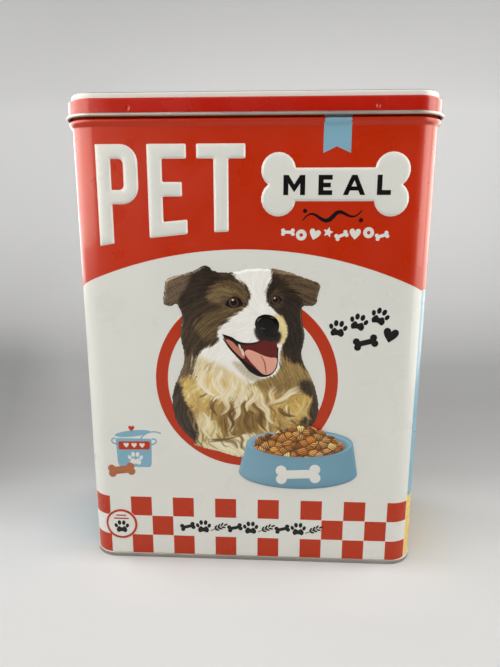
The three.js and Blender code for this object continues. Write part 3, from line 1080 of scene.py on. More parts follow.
# Patches of the coat, in the order they are painted: outline, dark and light hair, softness, raggedness.
COAT = (
    ([(-48, 151), (-47, 162), (-45, 168), (-36, 170.5), (-30, 170), (-33, 163), (-38, 157), (-40, 151)],
     (66, 50, 36), (132, 110, 84), 1.2, 1.2),
    ([(-31, 171), (-23, 175), (-17, 170), (-19, 163), (-24, 158), (-31, 154), (-38, 151), (-38, 157),
      (-34, 163)], (18, 12, 6), (60, 44, 28), 1.6, 1.4),
    ([(-24, 161), (-18, 165.5), (-10, 166.2), (-4, 163.8), (-1.2, 159), (-2.6, 154), (-6, 150.6), (-12, 147),
      (-19, 143), (-25, 144), (-27, 150), (-23, 153)], (56, 42, 26), (130, 105, 68), 1.2, 1.4),
    ([(-23, 157), (-20, 162), (-13, 163.4), (-9, 161), (-14, 158), (-18, 154.6)],
     (86, 68, 42), (148, 124, 84), 1.8, 1.4),
    ([(-37, 150), (-30, 153), (-21, 154), (-16, 152), (-22, 149), (-29, 146), (-36, 143)],
     (28, 19, 11), (80, 60, 38), 1.5, 1.4),
    ([(-29, 144), (-23, 148), (-14, 147.4), (-9, 148), (-17, 142), (-18.4, 137), (-19.4, 132), (-25, 130.5),
      (-29, 134), (-30, 140)], (58, 44, 26), (128, 103, 62), 1.8, 2),
    ([(-37, 140), (-30, 137.5), (-25, 133.5), (-19, 134), (-19.6, 131), (-28, 126.4), (-33, 121), (-38, 127)],
     (32, 22, 12), (90, 70, 44), 1.4, 1.6),
    ([(-38, 126), (-33, 124), (-30, 118), (-31, 111), (-33, 104), (-42, 108), (-40, 116)],
     (66, 51, 34), (126, 104, 74), 1.6, 1.4),
    ([(8.6, 166), (12, 170), (20, 168), (27, 160), (27, 148), (29, 140), (29, 130), (28, 124), (24, 120),
      (20, 124.6), (17, 131), (19.8, 137), (19.2, 143.4), (15.8, 148), (11.4, 152), (8, 157)],
     (18, 12, 7), (66, 49, 32), 0.9, 1.2),
    ([(10, 172.5), (24, 171), (32, 167.6), (37, 164.6), (36, 158), (35, 152), (29, 152), (27, 157),
      (20, 164.6)], (56, 42, 29), (116, 93, 66), 1.2, 1.2),
    ([(9.6, 154), (10.6, 159.6), (14, 161.4), (17.4, 158), (16.6, 153), (12.6, 151.4)],
     (44, 30, 18), (92, 68, 42), 1.2, 1),
    ([(-41, 107), (-33, 114), (-24, 113), (-8, 112), (6, 115), (22, 112), (30, 108), (34, 100), (32, 90),
      (28, 83), (20, 78), (6, 74), (-8, 76), (-30, 72), (-31, 84), (-37, 97)],
     (144, 110, 50), (222, 190, 118), 1.2, 2),
    ([(-13, 98), (-3, 102), (4, 98), (9, 91), (4, 82), (-6, 77), (-15, 79), (-19, 86)],
     (92, 66, 26), (172, 136, 68), 2.4, 2.6),
    ([(-41, 107), (-33, 111), (-27, 108), (-23, 101), (-25, 94), (-31, 88), (-34, 95), (-38, 100)],
     (188, 154, 72), (240, 212, 138), 1.6, 2),
    ([(13, 100), (22, 106.6), (30, 107), (35, 100), (33, 93), (27, 87), (18, 87), (11, 93)],
     (168, 132, 58), (230, 198, 120), 2, 2),
    ([(-32, 89), (-26, 91), (-20, 86), (-18, 79), (-23, 75), (-32, 75)],
     (206, 184, 126), (246, 232, 190), 1.6, 2),
    ([(14.4, 131), (17, 127), (21, 122), (27, 120.5), (31, 118), (34.6, 110.5), (31, 107), (24, 103.5),
      (14, 104.6), (6, 106.6), (2, 111), (8, 113), (12.5, 115), (15, 121)],
     (108, 84, 42), (184, 152, 92), 1.4, 1.8),
    ([(-10, 174), (-8.5, 168.5), (-4.5, 165.4), (-1.6, 162.2), (-0.4, 158.4), (-1.8, 154), (-5, 150.2),
      (-10, 147), (-14, 143.6), (-17.4, 140.4), (-18.4, 137), (-17.6, 133.6), (-21, 131), (-27, 128),
      (-30, 122), (-30, 112), (-22, 104), (-10, 106), (0, 109), (4, 112), (12, 114), (16, 120), (15.6, 127),
      (17.6, 132.4), (19.4, 137), (19.2, 142), (16.6, 146.6), (13, 150.2), (9.4, 154), (8, 159), (9.2, 164),
      (10.6, 168), (8.4, 174)], (236, 231, 220), (254, 251, 244), 0.7, 0.8),
    ([(-30, 124), (-22, 122), (-14, 119), (-8, 114), (-1, 110), (3, 106), (-2, 100), (-12, 100), (-22, 101),
      (-31, 110)], (202, 176, 116), (250, 240, 210), 2, 2.4),
    ([(-28, 112), (-20, 114), (-13, 111), (-12, 105), (-19, 103), (-27, 106)],
     (204, 170, 102), (244, 222, 166), 2.2, 2.4),
    ([(-10, 121.6), (-4.4, 121), (1, 116), (6, 112.4), (1, 111), (-5, 115)],
     (176, 162, 134), (226, 216, 196), 1.2, 0.6),
    ([(12.6, 148), (16.5, 147.4), (19.4, 142), (19.4, 137), (17.2, 132.4), (14.4, 133), (15, 138),
      (14.6, 143)], (218, 194, 126), (246, 228, 174), 0.6, 0.3),
    ([(2.6, 141), (4.4, 134), (14.4, 132.6), (15.4, 139)], (26, 17, 13), (52, 38, 30), 0.9, 0.3),
    ([(-46, 98), (-43, 110), (-38.4, 107.4), (-38.4, 103), (-37.4, 99), (-34, 94), (-31, 88.5), (-29.6, 83),
      (-31, 75), (-37, 75), (-43, 84)], (34, 26, 20), (84, 68, 54), 0.8, 1.6),
    ([(26.6, 110.6), (31, 112), (36, 108), (39, 98), (38, 88), (32, 81), (26, 82), (27.6, 88), (32, 93),
      (31.4, 97), (34, 100.4), (31, 103.4), (28, 105)], (34, 25, 16), (88, 69, 46), 0.8, 1.6),
    ([(-32, 70), (-28, 75.4), (-18, 76.8), (-8, 78.8), (3, 80), (3, 70), (-5, 63), (-16, 66)],
     (216, 202, 154), (250, 242, 212), 0.8, 0.8),
)

PALE, GOLD, SHADOW, EAR_EDGE = (253, 246, 224), (234, 206, 138), (84, 58, 24), (168, 144, 110)
UNDERCOAT = {PALE: (206, 174, 112), GOLD: (164, 126, 60), SHADOW: (142, 106, 52), EAR_EDGE: (110, 88, 64)}

# Single locks on the chest and along the ears, from root to tip: path, width, colour.
LOCKS = (
    ([(-33, 108), (-31, 100), (-27, 94), (-26, 87), (-29, 82)], 6, GOLD),
    ([(31, 104), (30, 97), (25, 91), (17, 88.4)], 6, GOLD),
    ([(-24, 118), (-27, 112), (-25, 106), (-20, 102)], 5, PALE),
    ([(-17, 117), (-19, 110), (-16, 104), (-18, 99)], 5, PALE),
    ([(-10, 114), (-10, 107), (-14, 101), (-13, 95), (-17, 91)], 5, PALE),
    ([(-2, 110), (-4, 103), (-8, 98), (-7, 92), (-10, 88)], 4.4, PALE),
    ([(4, 107), (2, 101), (-2, 97), (-1, 91.6)], 3.6, PALE),
    ([(2, 103), (5, 98), (9, 94), (10, 89), (14, 86.4)], 4, PALE),
    ([(28, 107), (22, 105), (17, 100.6), (11, 98.6)], 4.6, PALE),
    ([(14, 108), (11, 104), (12, 99.6), (8, 96)], 3.4, PALE),
    ([(-29, 92), (-25, 87), (-26, 81), (-22, 76)], 4, PALE),
    ([(-20, 101), (-22, 95), (-18, 90)], 2.4, SHADOW),
    ([(-8, 97), (-12, 92), (-10, 86), (-13, 81)], 2.6, SHADOW),
    ([(0, 94), (-3, 88), (0, 82)], 2.6, SHADOW),
    ([(6, 93), (5, 87), (8, 82)], 2.4, SHADOW),
    ([(15, 96), (19, 92), (25, 91)], 2, SHADOW),
    ([(-24, 75.6), (-15, 76.4), (-5, 78.8)], 1.6, SHADOW),
    ([(10, 171.6), (22, 170.2), (34, 166)], 2, EAR_EDGE),
    ([(-46, 166), (-38, 169.6), (-28, 172.6)], 2, EAR_EDGE),
)

# The parts of the front that are covered in tufts.
RUFF = [
    (-30, 126), (-20, 125), (-8, 118), (2, 112), (6, 103), (-4, 97), (-14, 99), (-24, 102), (-30, 111),
]
CHEST = [
    (-38, 106), (-24, 104), (-8, 101), (6, 106), (22, 108), (33, 100), (28, 84), (6, 76), (-30, 74),
    (-31, 86),
]

# Place and heading of the hair.
COMBED = [
    (-40, 162, -1, -0.5), (-28, 168, -1, 0.1), (-22, 160, -1, -0.3), (-12, 163, -1, 0.4),
    (-14, 149, -1, -0.4), (-26, 150, -1, -0.6), (-27, 138, -0.7, -0.8), (-34, 140, -0.3, -1),
    (-35, 122, -0.1, -1), (-1, 160, -0.4, 0.9), (3, 168, 0.1, 1), (-10, 141, -1, -0.2),
    (-8, 126, -0.8, -0.6), (12, 165, 0.5, 0.8), (20, 164, 1, 0.1), (30, 162, 1, -0.4), (20, 150, 0.6, -0.8),
    (25, 138, 0.2, -1), (23, 126, 0.1, -1), (17, 138, 0.5, -0.8), (-22, 118, -0.5, -0.9),
    (-12, 110, 0.2, -1), (0, 104, 0.4, -0.9), (14, 112, 0.7, -0.8), (26, 113, 0.6, -0.8),
    (-34, 103, -0.9, -0.6), (-26, 96, -0.4, -1), (-14, 92, 0.1, -1), (0, 90, 0.1, -1), (12, 92, 0.3, -1),
    (26, 97, 0.8, -0.6), (-22, 82, -0.2, -1), (4, 80, 0.4, -0.9), (20, 84, 0.8, -0.6), (-39, 96, -0.2, -1),
    (-36, 83, 0.4, -0.9), (34, 96, 0.2, -1), (-16, 72, 1, -0.3), (-9, 102, -0.6, -0.8),
    (-13, 97, -0.6, -0.8), (4, 96, 0.6, -0.8), (9, 90, 0.6, -0.8), (17, 100, -0.8, -0.6),
    (24, 105, -0.8, -0.5), (-18, 104, -0.8, -0.5),
]


def coat(dark, light, streaks):
    """Hair colours between a dark and a light one, as the streaks run."""
    share = np.clip(0.5 + 0.5 * streaks, 0, 1)[:, None]
    return np.array(dark, float) * (1 - share) + np.array(light, float) * share


def add_locks(canvas, hair, area, count, length, width, colours, seed, strength, steps=7):
    """Wavy tufts that follow the hair inside an area."""
    draw = np.random.default_rng(seed)
    p = np.array(area)
    made = 0
    while made < count:
        place = draw.uniform(p.min(0), p.max(0))
        wave, swing = draw.uniform(0, 2 * math.pi), draw.uniform(0.3, 0.8)
        if not inside([area], [place])[0]:
            continue
        path = [place]
        for i in range(steps):
            heading = hair.flow(path[-1][None])[0]
            sideways = np.array([-heading[1], heading[0]])
            path.append(path[-1] + (heading + sideways * swing * math.sin(wave + i)) * length / steps)
        colour = colours[draw.integers(len(colours))]
        canvas.line(path, width * draw.uniform(0.6, 1.3), colour, 0.3, strength * draw.uniform(0.5, 1))
        made += 1


def add_tuft(canvas, path, width, colour, under, draw):
    """A lock of hair: strands side by side at the root that draw together at the tip."""
    spine = np.array(smooth_path(path))
    leftward = -across(spine)
    share = np.linspace(0, 1, len(spine))[:, None]
    third = len(spine) // 3
    for place in draw.permutation(np.linspace(-0.5, 0.5, 3 + int(width * 3.5))):
        bend = width * (place * (1 - share**1.5) + draw.uniform(-0.15, 0.15) * np.sin(4 * share + 6 * place))
        mix = draw.uniform(0, 0.75)
        shown = np.array(colour, float) * (1 - mix) + np.array(under, float) * mix
        start, end = draw.integers(0, third), draw.integers(len(spine) * 2 // 3, len(spine) + 1)
        strand = (spine + leftward * bend)[start:end]
        canvas.line(strand, draw.uniform(0.45, 0.9), shown, 0.25, draw.uniform(0.35, 0.8))


def paint_dog(flat, gap):
    """The coat in patches, then tufts over the chest and single locks over those."""
    hair = Hair(COMBED, DOG_LOW, DOG_HIGH)
    streaks = hair.at(flat)
    canvas = Canvas(flat, coat((26, 18, 10), (86, 66, 43), streaks))
    for outline, dark, light, soft, ragged in COAT:
        canvas.field(smooth(outline), coat(dark, light, streaks), soft, ragged * streaks)
    tan = (SHADOW, (132, 100, 54), (160, 128, 76))
    add_locks(canvas, hair, RUFF, 24, 11, 1.5, (PALE, GOLD), 5, 0.7)
    add_locks(canvas, hair, RUFF, 10, 7, 0.8, tan, 6, 0.4)
    add_locks(canvas, hair, CHEST, 44, 12, 1.6, (PALE, GOLD) + tan, 7, 0.7)
    add_locks(canvas, hair, CHEST, 30, 11, 1.0, tan, 8, 0.8)
    draw = np.random.default_rng(9)
    for path, width, colour in LOCKS:
        add_tuft(canvas, path, width, colour, UNDERCOAT[colour], draw)
    return canvas.colours, 0.05 * streaks * ease(0.4, 1.4, gap)


def add_dog():
    dog = frayed(smooth(DOG, 4), 0.3, 1.1, 11)
    painted_relief("picture_dog_coat", [dog], DOG_RELIEF, 1.2, "print_brown", paint_dog)


# --- The dog's face ---

NOSE_BLACK = ink("print_black", "nose", 14, 9, 7, gloss=0.22)
NOSE_SHINE = ink("print_black", "nose_shine", 74, 66, 62)
MOUTH_RED = ink("print_red", "mouth_red", 98, 22, 12)
GUM_PINK = ink("print_red", "gum", 196, 122, 98)
TONGUE_PINK = ink("print_red", "tongue", 228, 164, 142)
TONGUE_DARK = ink("print_red", "tongue_fold", 168, 88, 70)
TOOTH_WHITE = ink("print_cream", "tooth", 232, 214, 188)
EYE_BROWN = ink("print_brown", "eye_brown", 72, 44, 26)
EYE_RIM = ink("print_black", "eye_rim", 7, 5, 4)
EYE_WHITE = ink("print_cream", "eye_white", 150, 138, 122)

FACE = DOG_RELIEF + 5 * LAYER
MOUTH = [
    (-15.2, 136.8), (-12, 135), (-8, 132.8), (-3, 132.3), (2, 132.6), (6, 134.6), (10.5, 135), (13.4, 133.6),
    (14.4, 130), (14.6, 124), (13.6, 118.6), (10.6, 115.2), (6.6, 114.4), (2.6, 116), (-1.4, 119.6),
    (-5.4, 123.6), (-9.6, 127.6), (-13, 132),
]
HOLLOW = [(-9.4, 133.2), (-6.6, 132.4), (-4.4, 129.4), (-3.4, 126.4), (-5.2, 128), (-8, 131)]
TONGUE = [
    (-3.4, 127), (-1.6, 128.8), (2, 127.8), (6, 126), (10.4, 124.6), (14, 124.2), (13.8, 119.8), (12, 116.4),
    (8.8, 114.8), (6, 115.6), (2.6, 119), (-0.6, 122.6),
]
TONGUE_FOLD = [(5.6, 125.4), (7.4, 122), (8, 118.6), (8.4, 115.6)]
GUM = [
    (-13.6, 134), (-10.8, 130), (-7.4, 126.2), (-4.4, 123.8), (-3.2, 125.4), (-5.2, 128.4), (-8.2, 131.4),
    (-11, 133.8),
]
UPPER_LIP = [(-15.4, 137), (-11, 134.8), (-7, 132.6), (-2, 132), (3, 132.8), (6.6, 134.6)]
LOWER_LIP = [
    (-15, 134.6), (-10.8, 128.6), (-5.8, 123.6), (-1.4, 119.2), (3, 115.8), (7.4, 114.2), (11, 115.2),
    (13.8, 118.8), (14.4, 124), (14.6, 130),
]
TEETH = (
    [(-6.9, 131.5), (-5.9, 131.4), (-5.2, 128.9), (-5.9, 128.6)],
    [(-5.5, 129), (-4.6, 129.2), (-3.5, 126.2), (-4.5, 125.6)],
)
NOSE = [
    (2.1, 143.6), (3.6, 146.8), (7.4, 148.3), (12, 147.4), (14.8, 144.4), (15, 140.6), (13.8, 137.6),
    (13.4, 134.4), (9, 133.8), (5.4, 135.4), (4.8, 138.4), (2.9, 140.4),
]
SHINE = [(-1.5, 0), (0, 0.5), (1.5, 0.1), (0, 0)]
# Eyelids and the right-hand corner of the white, in halves of an eye's width and height.
LIDS = [
    (-1, -0.25), (-0.55, 0.6), (0.05, 0.98), (0.62, 0.62), (1, -0.25), (0.5, -0.72), (-0.1, -0.9),
    (-0.6, -0.75),
]
WHITE = [(0.92, -0.2), (0.66, 0.22), (0.58, -0.1), (0.66, -0.5)]


def face_patch(name, loops, level, ink, height=0.12, shoulder=0.5):
    relief(f"picture_{name}", loops, height, shoulder, ink, level, 0.7, lift=FACE)


def add_eye(name, x, z, half_width, half_height, iris, tilt):
    """An eye: dark lids, the white in both corners, the iris, the pupil and a glint."""
    def placed(loop):
        return turned([(a * half_width, b * half_height) for a, b in loop], tilt, (x, z))

    face_patch(f"{name}_lids", [placed(smooth(LIDS))], 1, EYE_RIM, 0.1)
    corners = [placed(smooth([(side * a, b) for a, b in WHITE], 3)) for side in (-1, 1)]
    face_patch(f"{name}_white", corners, 3, EYE_WHITE, 0.03, 0.1)
    face_patch(f"{name}_iris", [circle(x, z, iris, 24)], 4, EYE_BROWN)
    face_patch(f"{name}_pupil", [circle(x, z + 0.1, iris * 0.62, 18)], 8, EYE_RIM, 0.05)
    glint = ellipse(x - iris * 0.2, z + iris * 0.52, iris * 0.2, iris * 0.18, 12)
    face_patch(f"{name}_glint", [glint], 10, TOOTH_WHITE, 0.03, 0.1)


def lip(points, places, widths):
    """A line along a lip, with its widths at some of its places."""
    path = smooth_path(points, 3)
    return [stroke(path, np.interp(np.arange(len(path)), places, widths))]


def add_face():
    face_patch("mouth", [smooth(MOUTH, 4)], 0, MOUTH_RED, 0.02)
    face_patch("lip_upper", lip(UPPER_LIP, [0, 3, 6, 10, 15], [0.5, 2.2, 1.6, 0.9, 0.5]), 2, EYE_RIM)
    widths = [0.5, 0.8, 1.8, 3.2, 2.6, 1, 0.6, 0.7]
    face_patch("lip_lower", lip(LOWER_LIP, [0, 4, 7, 10, 13, 16, 20, 27], widths), 1, EYE_RIM)
    face_patch("gum", [smooth(GUM, 4)], 2, GUM_PINK)
    face_patch("mouth_hollow", [smooth(HOLLOW, 4)], 3, EYE_RIM, 0.02)
    face_patch("tongue", [smooth(TONGUE, 4)], 3, TONGUE_PINK, 0.25, 1)
    fold = smooth_path(TONGUE_FOLD, 4)
    widths = 0.25 + 0.5 * np.sin(np.linspace(0.3, math.pi - 0.2, len(fold)))
    face_patch("tongue_fold", [stroke(fold, widths)], 12, TONGUE_DARK, 0.02, 0.1)
    face_patch("teeth", [smooth(tooth, 3) for tooth in TEETH], 6, TOOTH_WHITE, 0.1, 0.3)
    face_patch("nose", [smooth(NOSE, 4)], 3, NOSE_BLACK, 0.45, 2.2)
    shines = [turned(smooth(SHINE, 3), tilt, at)
              for at, tilt in (((4.6, 145.4), 38), ((6.4, 140.6), -12), ((11.4, 146.4), -16))]
    face_patch("nose_shine", shines, 18, NOSE_SHINE, 0.02, 0.2)
    add_eye("eye_left", -9.2, 154.6, 4.9, 3.4, 2.7, -2)
    add_eye("eye_right", 13, 156, 3.5, 2.6, 2.2, 8)


add_dog()
add_face()

# --- Bowl and kibble ---

BOWL_X, BOWL_Z = 27.2, 74.6
BOWL_FOOT_X, BOWL_FOOT_Z = 26.8, 57
BOWL_RELIEF = 0.65
BOWL_LIFT = 0.25
RIM = (30.2, 8.6)
RIM_INNER = (27.2, 7.2)
HEAP_TOP = [
    (2.2, 74), (3, 77.8), (5.4, 79.4), (7, 78.9), (8.6, 80.9), (11, 80.8), (12.6, 80.1), (14.6, 82.4),
    (17, 82.6), (18.4, 81.9), (20.4, 84.2), (23, 84.6), (24.6, 83.8), (26.6, 85.7), (29.4, 85.3), (30.6, 84),
    (33, 85.5), (36, 84.9), (37.2, 83), (39.4, 83.4), (41.8, 81.9), (42.8, 80.2), (45.6, 80.2), (47.6, 78.7),
    (48.8, 76.9), (51, 76.4), (53, 73.4),
]
KIBBLE_BROWNS = (
    (158, 100, 42), (178, 122, 60), (134, 82, 32), (206, 160, 102), (166, 108, 46), (188, 138, 78),
)
KIBBLE_PITCH = 5


def oval_arc(x, z, half_width, half_height, start, end, steps):
    return [(x + half_width * a, z + half_height * b) for a, b in arc(0, 0, 1, start, end, steps)]


def bowl_outline():
    over = [p for p in ellipse(BOWL_X, BOWL_Z, *RIM, 60) if p[1] >= BOWL_Z - 0.01]
    return over + oval_arc(BOWL_FOOT_X, BOWL_FOOT_Z, 33.6, 10.2, 180, 360, 30)


def paint_bowl(flat, _):
    """Blue enamel, lighter towards the left, with a shadow at the foot."""
    x, z = flat.T
    canvas = Canvas(flat, (116, 158, 176))
    canvas.lay(ease(20, -8, x) * 0.35, (152, 186, 200))
    canvas.lay(ease(40, 62, x) * 0.35, (100, 142, 162))
    canvas.lay(ease(56, 47, z) * 0.45, (92, 132, 152))
    return canvas.colours, 0


def paint_rim(flat, _):
    return Canvas(flat, (138, 176, 192)).colours, 0


def paint_kibble(flat, gap):
    """Ridged baked chunks heaped together, each with its own size, tilt and shade of brown."""
    draw = np.random.default_rng(21)
    rows = enumerate(np.arange(63, 90, KIBBLE_PITCH * 0.62))
    seeds = np.array([(x + (j % 2) * KIBBLE_PITCH / 2, z) for j, z in rows
                      for x in np.arange(0, 56, KIBBLE_PITCH)])
    seeds += draw.uniform(-1.7, 1.7, seeds.shape)
    browns = np.array(KIBBLE_BROWNS)[draw.integers(len(KIBBLE_BROWNS), size=len(seeds))]
    browns = browns * draw.uniform(0.82, 1.12, (len(seeds), 1))
    tilts = draw.uniform(0, math.pi, len(seeds))
    sizes = draw.uniform(0.8, 1.25, len(seeds))
    away = np.linalg.norm((flat[:, None] - seeds) * (1, 1.25), axis=2) * sizes
    own = away.argmin(1)
    first, second = np.partition(away, 1, axis=1)[:, :2].T
    from_middle = flat - seeds[own]
    tilt = tilts[own]
    along = from_middle[:, 1] * np.cos(tilt) - from_middle[:, 0] * np.sin(tilt)
    over = from_middle[:, 0] * np.cos(tilt) + from_middle[:, 1] * np.sin(tilt)
    ridges = np.sin(over * 5.8 + 0.5 * np.sin(along * 1.6) + 3 * tilt)
    lit = np.clip(from_middle @ np.array([-0.35, 0.93]) / 2, -1, 1)
    canvas = Canvas(flat, (84, 48, 16))
    dome = ease(0, 0.75, second - first) * (0.5 + 0.5 * ease(3.4, 1.8, first))
    canvas.lay(dome, browns[own] * (1.04 + 0.26 * lit + 0.42 * ridges)[:, None])
    return canvas.colours, dome * (0.4 + 0.1 * ridges) * ease(0, 0.8, gap)


def add_bowl():
    """A bowl heaped with kibble in front of the dog, with a bone on its side."""
    painted_relief("picture_bowl", [bowl_outline()], BOWL_RELIEF, 1.4, "print_blue", paint_bowl, level=6,
                   step=1.2, lift=BOWL_LIFT)
    lift = BOWL_RELIEF + BOWL_LIFT
    rim = [ellipse(BOWL_X, BOWL_Z, RIM[0] - 0.6, RIM[1] - 0.6, 60),
           ellipse(BOWL_X, BOWL_Z - 0.6, *RIM_INNER, 60)]
    painted_relief("picture_bowl_rim", rim, 0.1, 0.5, "print_blue", paint_rim, level=8, step=1.5, lift=lift)
    heap = HEAP_TOP[::-1] + oval_arc(BOWL_X, BOWL_Z - 0.8, 25.6, 7, 183, 357, 24)
    painted_relief("picture_kibble", [heap], 0.15, 0.6, "print_brown", paint_kibble, level=10, step=0.4,
                   lift=lift)
    relief("picture_bowl_bone", [bone(27, 56.2, 9.6, 2.6, 3.1, 2.6, 3)], 0.12, 0.5, CREAM, level=8, step=1.2,
           lift=lift)


add_bowl()

# --- Small motifs ---

PAD = [
    (0, -0.06), (0.22, 0.06), (0.42, -0.22), (0.3, -0.46), (0, -0.38), (-0.3, -0.46), (-0.42, -0.22),
    (-0.22, 0.06),
]
# The toes on one side: place, half sizes and lean.
TOES = ((0.44, 0.12, 0.13, 0.18, 20), (0.17, 0.36, 0.14, 0.2, 6))


def paw(x, z, size, tilt=0):
    """A paw print: one pad and four toes."""
    toes = [ellipse(side * a, b, rx, rz, 16, -side * lean) for side in (-1, 1) for a, b, rx, rz, lean in TOES]
    return [turned(shape, tilt, (x, z), size) for shape in (smooth(PAD, 4), *toes)]


def heart(x, z, size, tilt=0):
    half = bezier((0, -0.5), (0.25, -0.25), (0.6, 0.05), (0.5, 0.32), 6)[:-1]
    half += bezier((0.5, 0.32), (0.42, 0.54), (0.1, 0.54), (0, 0.26), 6)
    return [turned(half + [(-a, b) for a, b in half[-2:0:-1]], tilt, (x, z), size)]


def ring(x, z, size, _):
    """A ring, the same at any tilt."""
    return [circle(x, z, size / 2, 22), circle(x, z, size / 6, 12)]


def star(x, z, size, tilt=0):
    points = [(0.5 * math.cos(t) * r, 0.5 * math.sin(t) * r)
              for t, r in zip(np.radians(np.arange(90, 450, 36)), (1, 0.46) * 5)]
    return [rounded(turned(points, tilt, (x, z), size), 0.35, 2)]


def small_bone(x, z, length, tilt=0):
    unit = length / 10
    return [bone(x, z, 3.6 * unit, 1.25 * unit, 1.5 * unit, 1.15 * unit, tilt, 6)]


def sprig(x, z, size, tilt=0):
    """An ear of grain: a stem with three pairs of seeds and one at the tip."""
    seeds = [(0.5, 0, 0)] + [(0.28 - 0.24 * i, side * 0.12, side * 35) for i in range(3) for side in (1, -1)]
    shapes = [stroke([(-0.62, 0), (-0.3, 0), (0.1, 0)], 0.05)]
    shapes += [ellipse(a, b, 0.16, 0.065, 12, lean) for a, b, lean in seeds]
    return [turned(shape, tilt, (x, z), size) for shape in shapes]


def add_wall_motifs():
    """A trail of paws, a row along the foot, and a swash and a row of treats under the bone."""
    trail = paw(46.6, 140.6, 8.6, -8) + paw(57.4, 144.2, 8.6, -14) + paw(68.4, 147.4, 8.6, -20)
    trail += small_bone(61.6, 133.4, 13, 14) + heart(74.6, 137.4, 8, -12)
    print_patch("print_trail", trail, 3, BLACK)

    row = []
    for i in range(9):
        shape, size, tilt = ((small_bone, 8.8, 14), (paw, 7.8, 0), (sprig, 8.6, 25))[i % 3]
        row += shape(-37.2 + 9.3 * i, 20.6, size, tilt)
    print_patch("print_foot_row", row, 3, BLACK)

    swash = bezier((26.5, 197.5), (33, 207), (36, 192), (42, 199.5), 10)[:-1]
    swash += bezier((42, 199.5), (47, 206.5), (50, 194), (56.5, 202.4), 10)
    widths = np.concatenate([np.linspace(0.5, 2.2, 10), np.linspace(2.2, 0.5, 11)])
    dots = [circle(27.6, 202.2, 1.1, 14), circle(56.2, 197.6, 1.1, 14)]
    print_patch("print_swash", [stroke(swash, widths)] + dots, 4, BLACK)

    treats = []
    for i, shape in enumerate((small_bone, ring, heart, star, small_bone, heart, ring, small_bone)):
        size = 7 if shape is small_bone else 5.6
        treats += shape(19 + 6.9 * i, 190.6 + 0.9 * math.cos(i * 2.2), size, 25 * math.sin(i * 1.9))
    print_patch("print_treats", treats, 4, CREAM)


def add_far_motifs():
    """A large paw in the rear ring, and a paw on a cream disc on each side."""
    print_patch("print_rear_paw", paw(REAR_MIDDLE, RING_Z + 1, 62), 2, BLACK, step=4)
    for side, u in (("right", REAR_MIDDLE / 2), ("left", GIRTH - REAR_MIDDLE / 2)):
        print_patch(f"print_{side}_disc", [circle(u, 104, 20, 70)], 2, CREAM, step=5)
        print_patch(f"print_{side}_paw", paw(u, 103.4, 26), 3, CHECK_RED)


def add_lid_motifs():
    """A paw between two bones on the top of the lid."""
    bones = [bone(x, 0, 13, 4.5, 5.4, 4.1, tilt) for x, tilt in ((-50, 18), (50, -18))]
    for name, loops in (("paw", paw(0, 2, 36)), ("bones", bones)):
        flat, faces = fill([finer(loop, 1.2) for loop in loops], [])
        top, bottom = (np.column_stack([flat, np.full(len(flat), z)]) for z in (HEIGHT, HEIGHT - 0.15))
        add_piece(f"lid_print_{name}", *slab(faces, top, bottom), "lid", *CREAM)


def add_pot():
    """A small cooking pot with a lid, a heart for its knob, and a biscuit in front."""
    body = rounded([(-77, 60.4), (-76, 58), (-58, 58), (-57.2, 60.4), (-56.8, 75.6), (-77.6, 75.6)], 1.2)
    handles = [stroke(bezier((-77.4, 72), (-80.6, 72.4), (-80.8, 75.6), (-78, 75.4), 8), 0.9),
               stroke(bezier((-57, 72), (-53.4, 72.4), (-53.2, 75.8), (-56.4, 75.4), 8), 0.9)]
    cover = ellipse(-67.6, 78.6, 10.4, 1.9, 36, 7)
    banner = rounded([(-76, 68.6), (-58, 69), (-57.8, 74), (-76.2, 73.6)], 1)
    hearts = [loop for x in (-71.6, -67, -62.4) for loop in heart(x, 71.4, 3)]
    spoon = stroke(bezier((-63, 75.8), (-60, 79.4), (-56, 81), (-51.6, 79), 10), 0.8)
    parts = (
        ("body", [body], 2, BLUE),
        ("handles", handles, 2, BLUE),
        ("cover", [cover], 3, BLUE),
        ("knob", heart(-68.2, 81.6, 3.4), 4, CHECK_RED),
        ("banner", [banner], 4, CHECK_RED),
        ("hearts", hearts, 6, CREAM),
        ("paw", paw(-66.6, 63, 7.6), 4, CREAM),
        ("spoon", [spoon], 2, BLUE),
    )
    for name, *look in parts:
        print_patch(f"print_pot_{name}", *look)
    relief("print_pot_biscuit", [bone(-75.1, 56, 5.6, 1.6, 2.3, 2.3, 8, 8)], 0.2, 1.2, BROWN, level=5)


def add_roundel():
    """A raised disc at the foot, with a thin ring, a paw and two bars."""
    x, z, radius, raised = -76.7, 21.4, 9.6, 0.3
    relief("emboss_roundel", [circle(x, z, radius, 60)], raised, 0.8, CREAM, level=4)
    rims = [circle(x, z, radius - inset, 60) for inset in (0.2, 1.5)]
    bars = [rounded([(x - half, low), (x + half, low), (x + half, low + 0.8), (x - half, low + 0.8)], 0.3)
            for half, low in ((3, z + 5.2), (4.4, z + 3.2))]
    print_patch("print_roundel_ring", rims + bars, 6, CHECK_RED, lift=raised)
    print_patch("print_roundel_paw", paw(x, z - 2, 7.6), 6, BLACK, lift=raised)


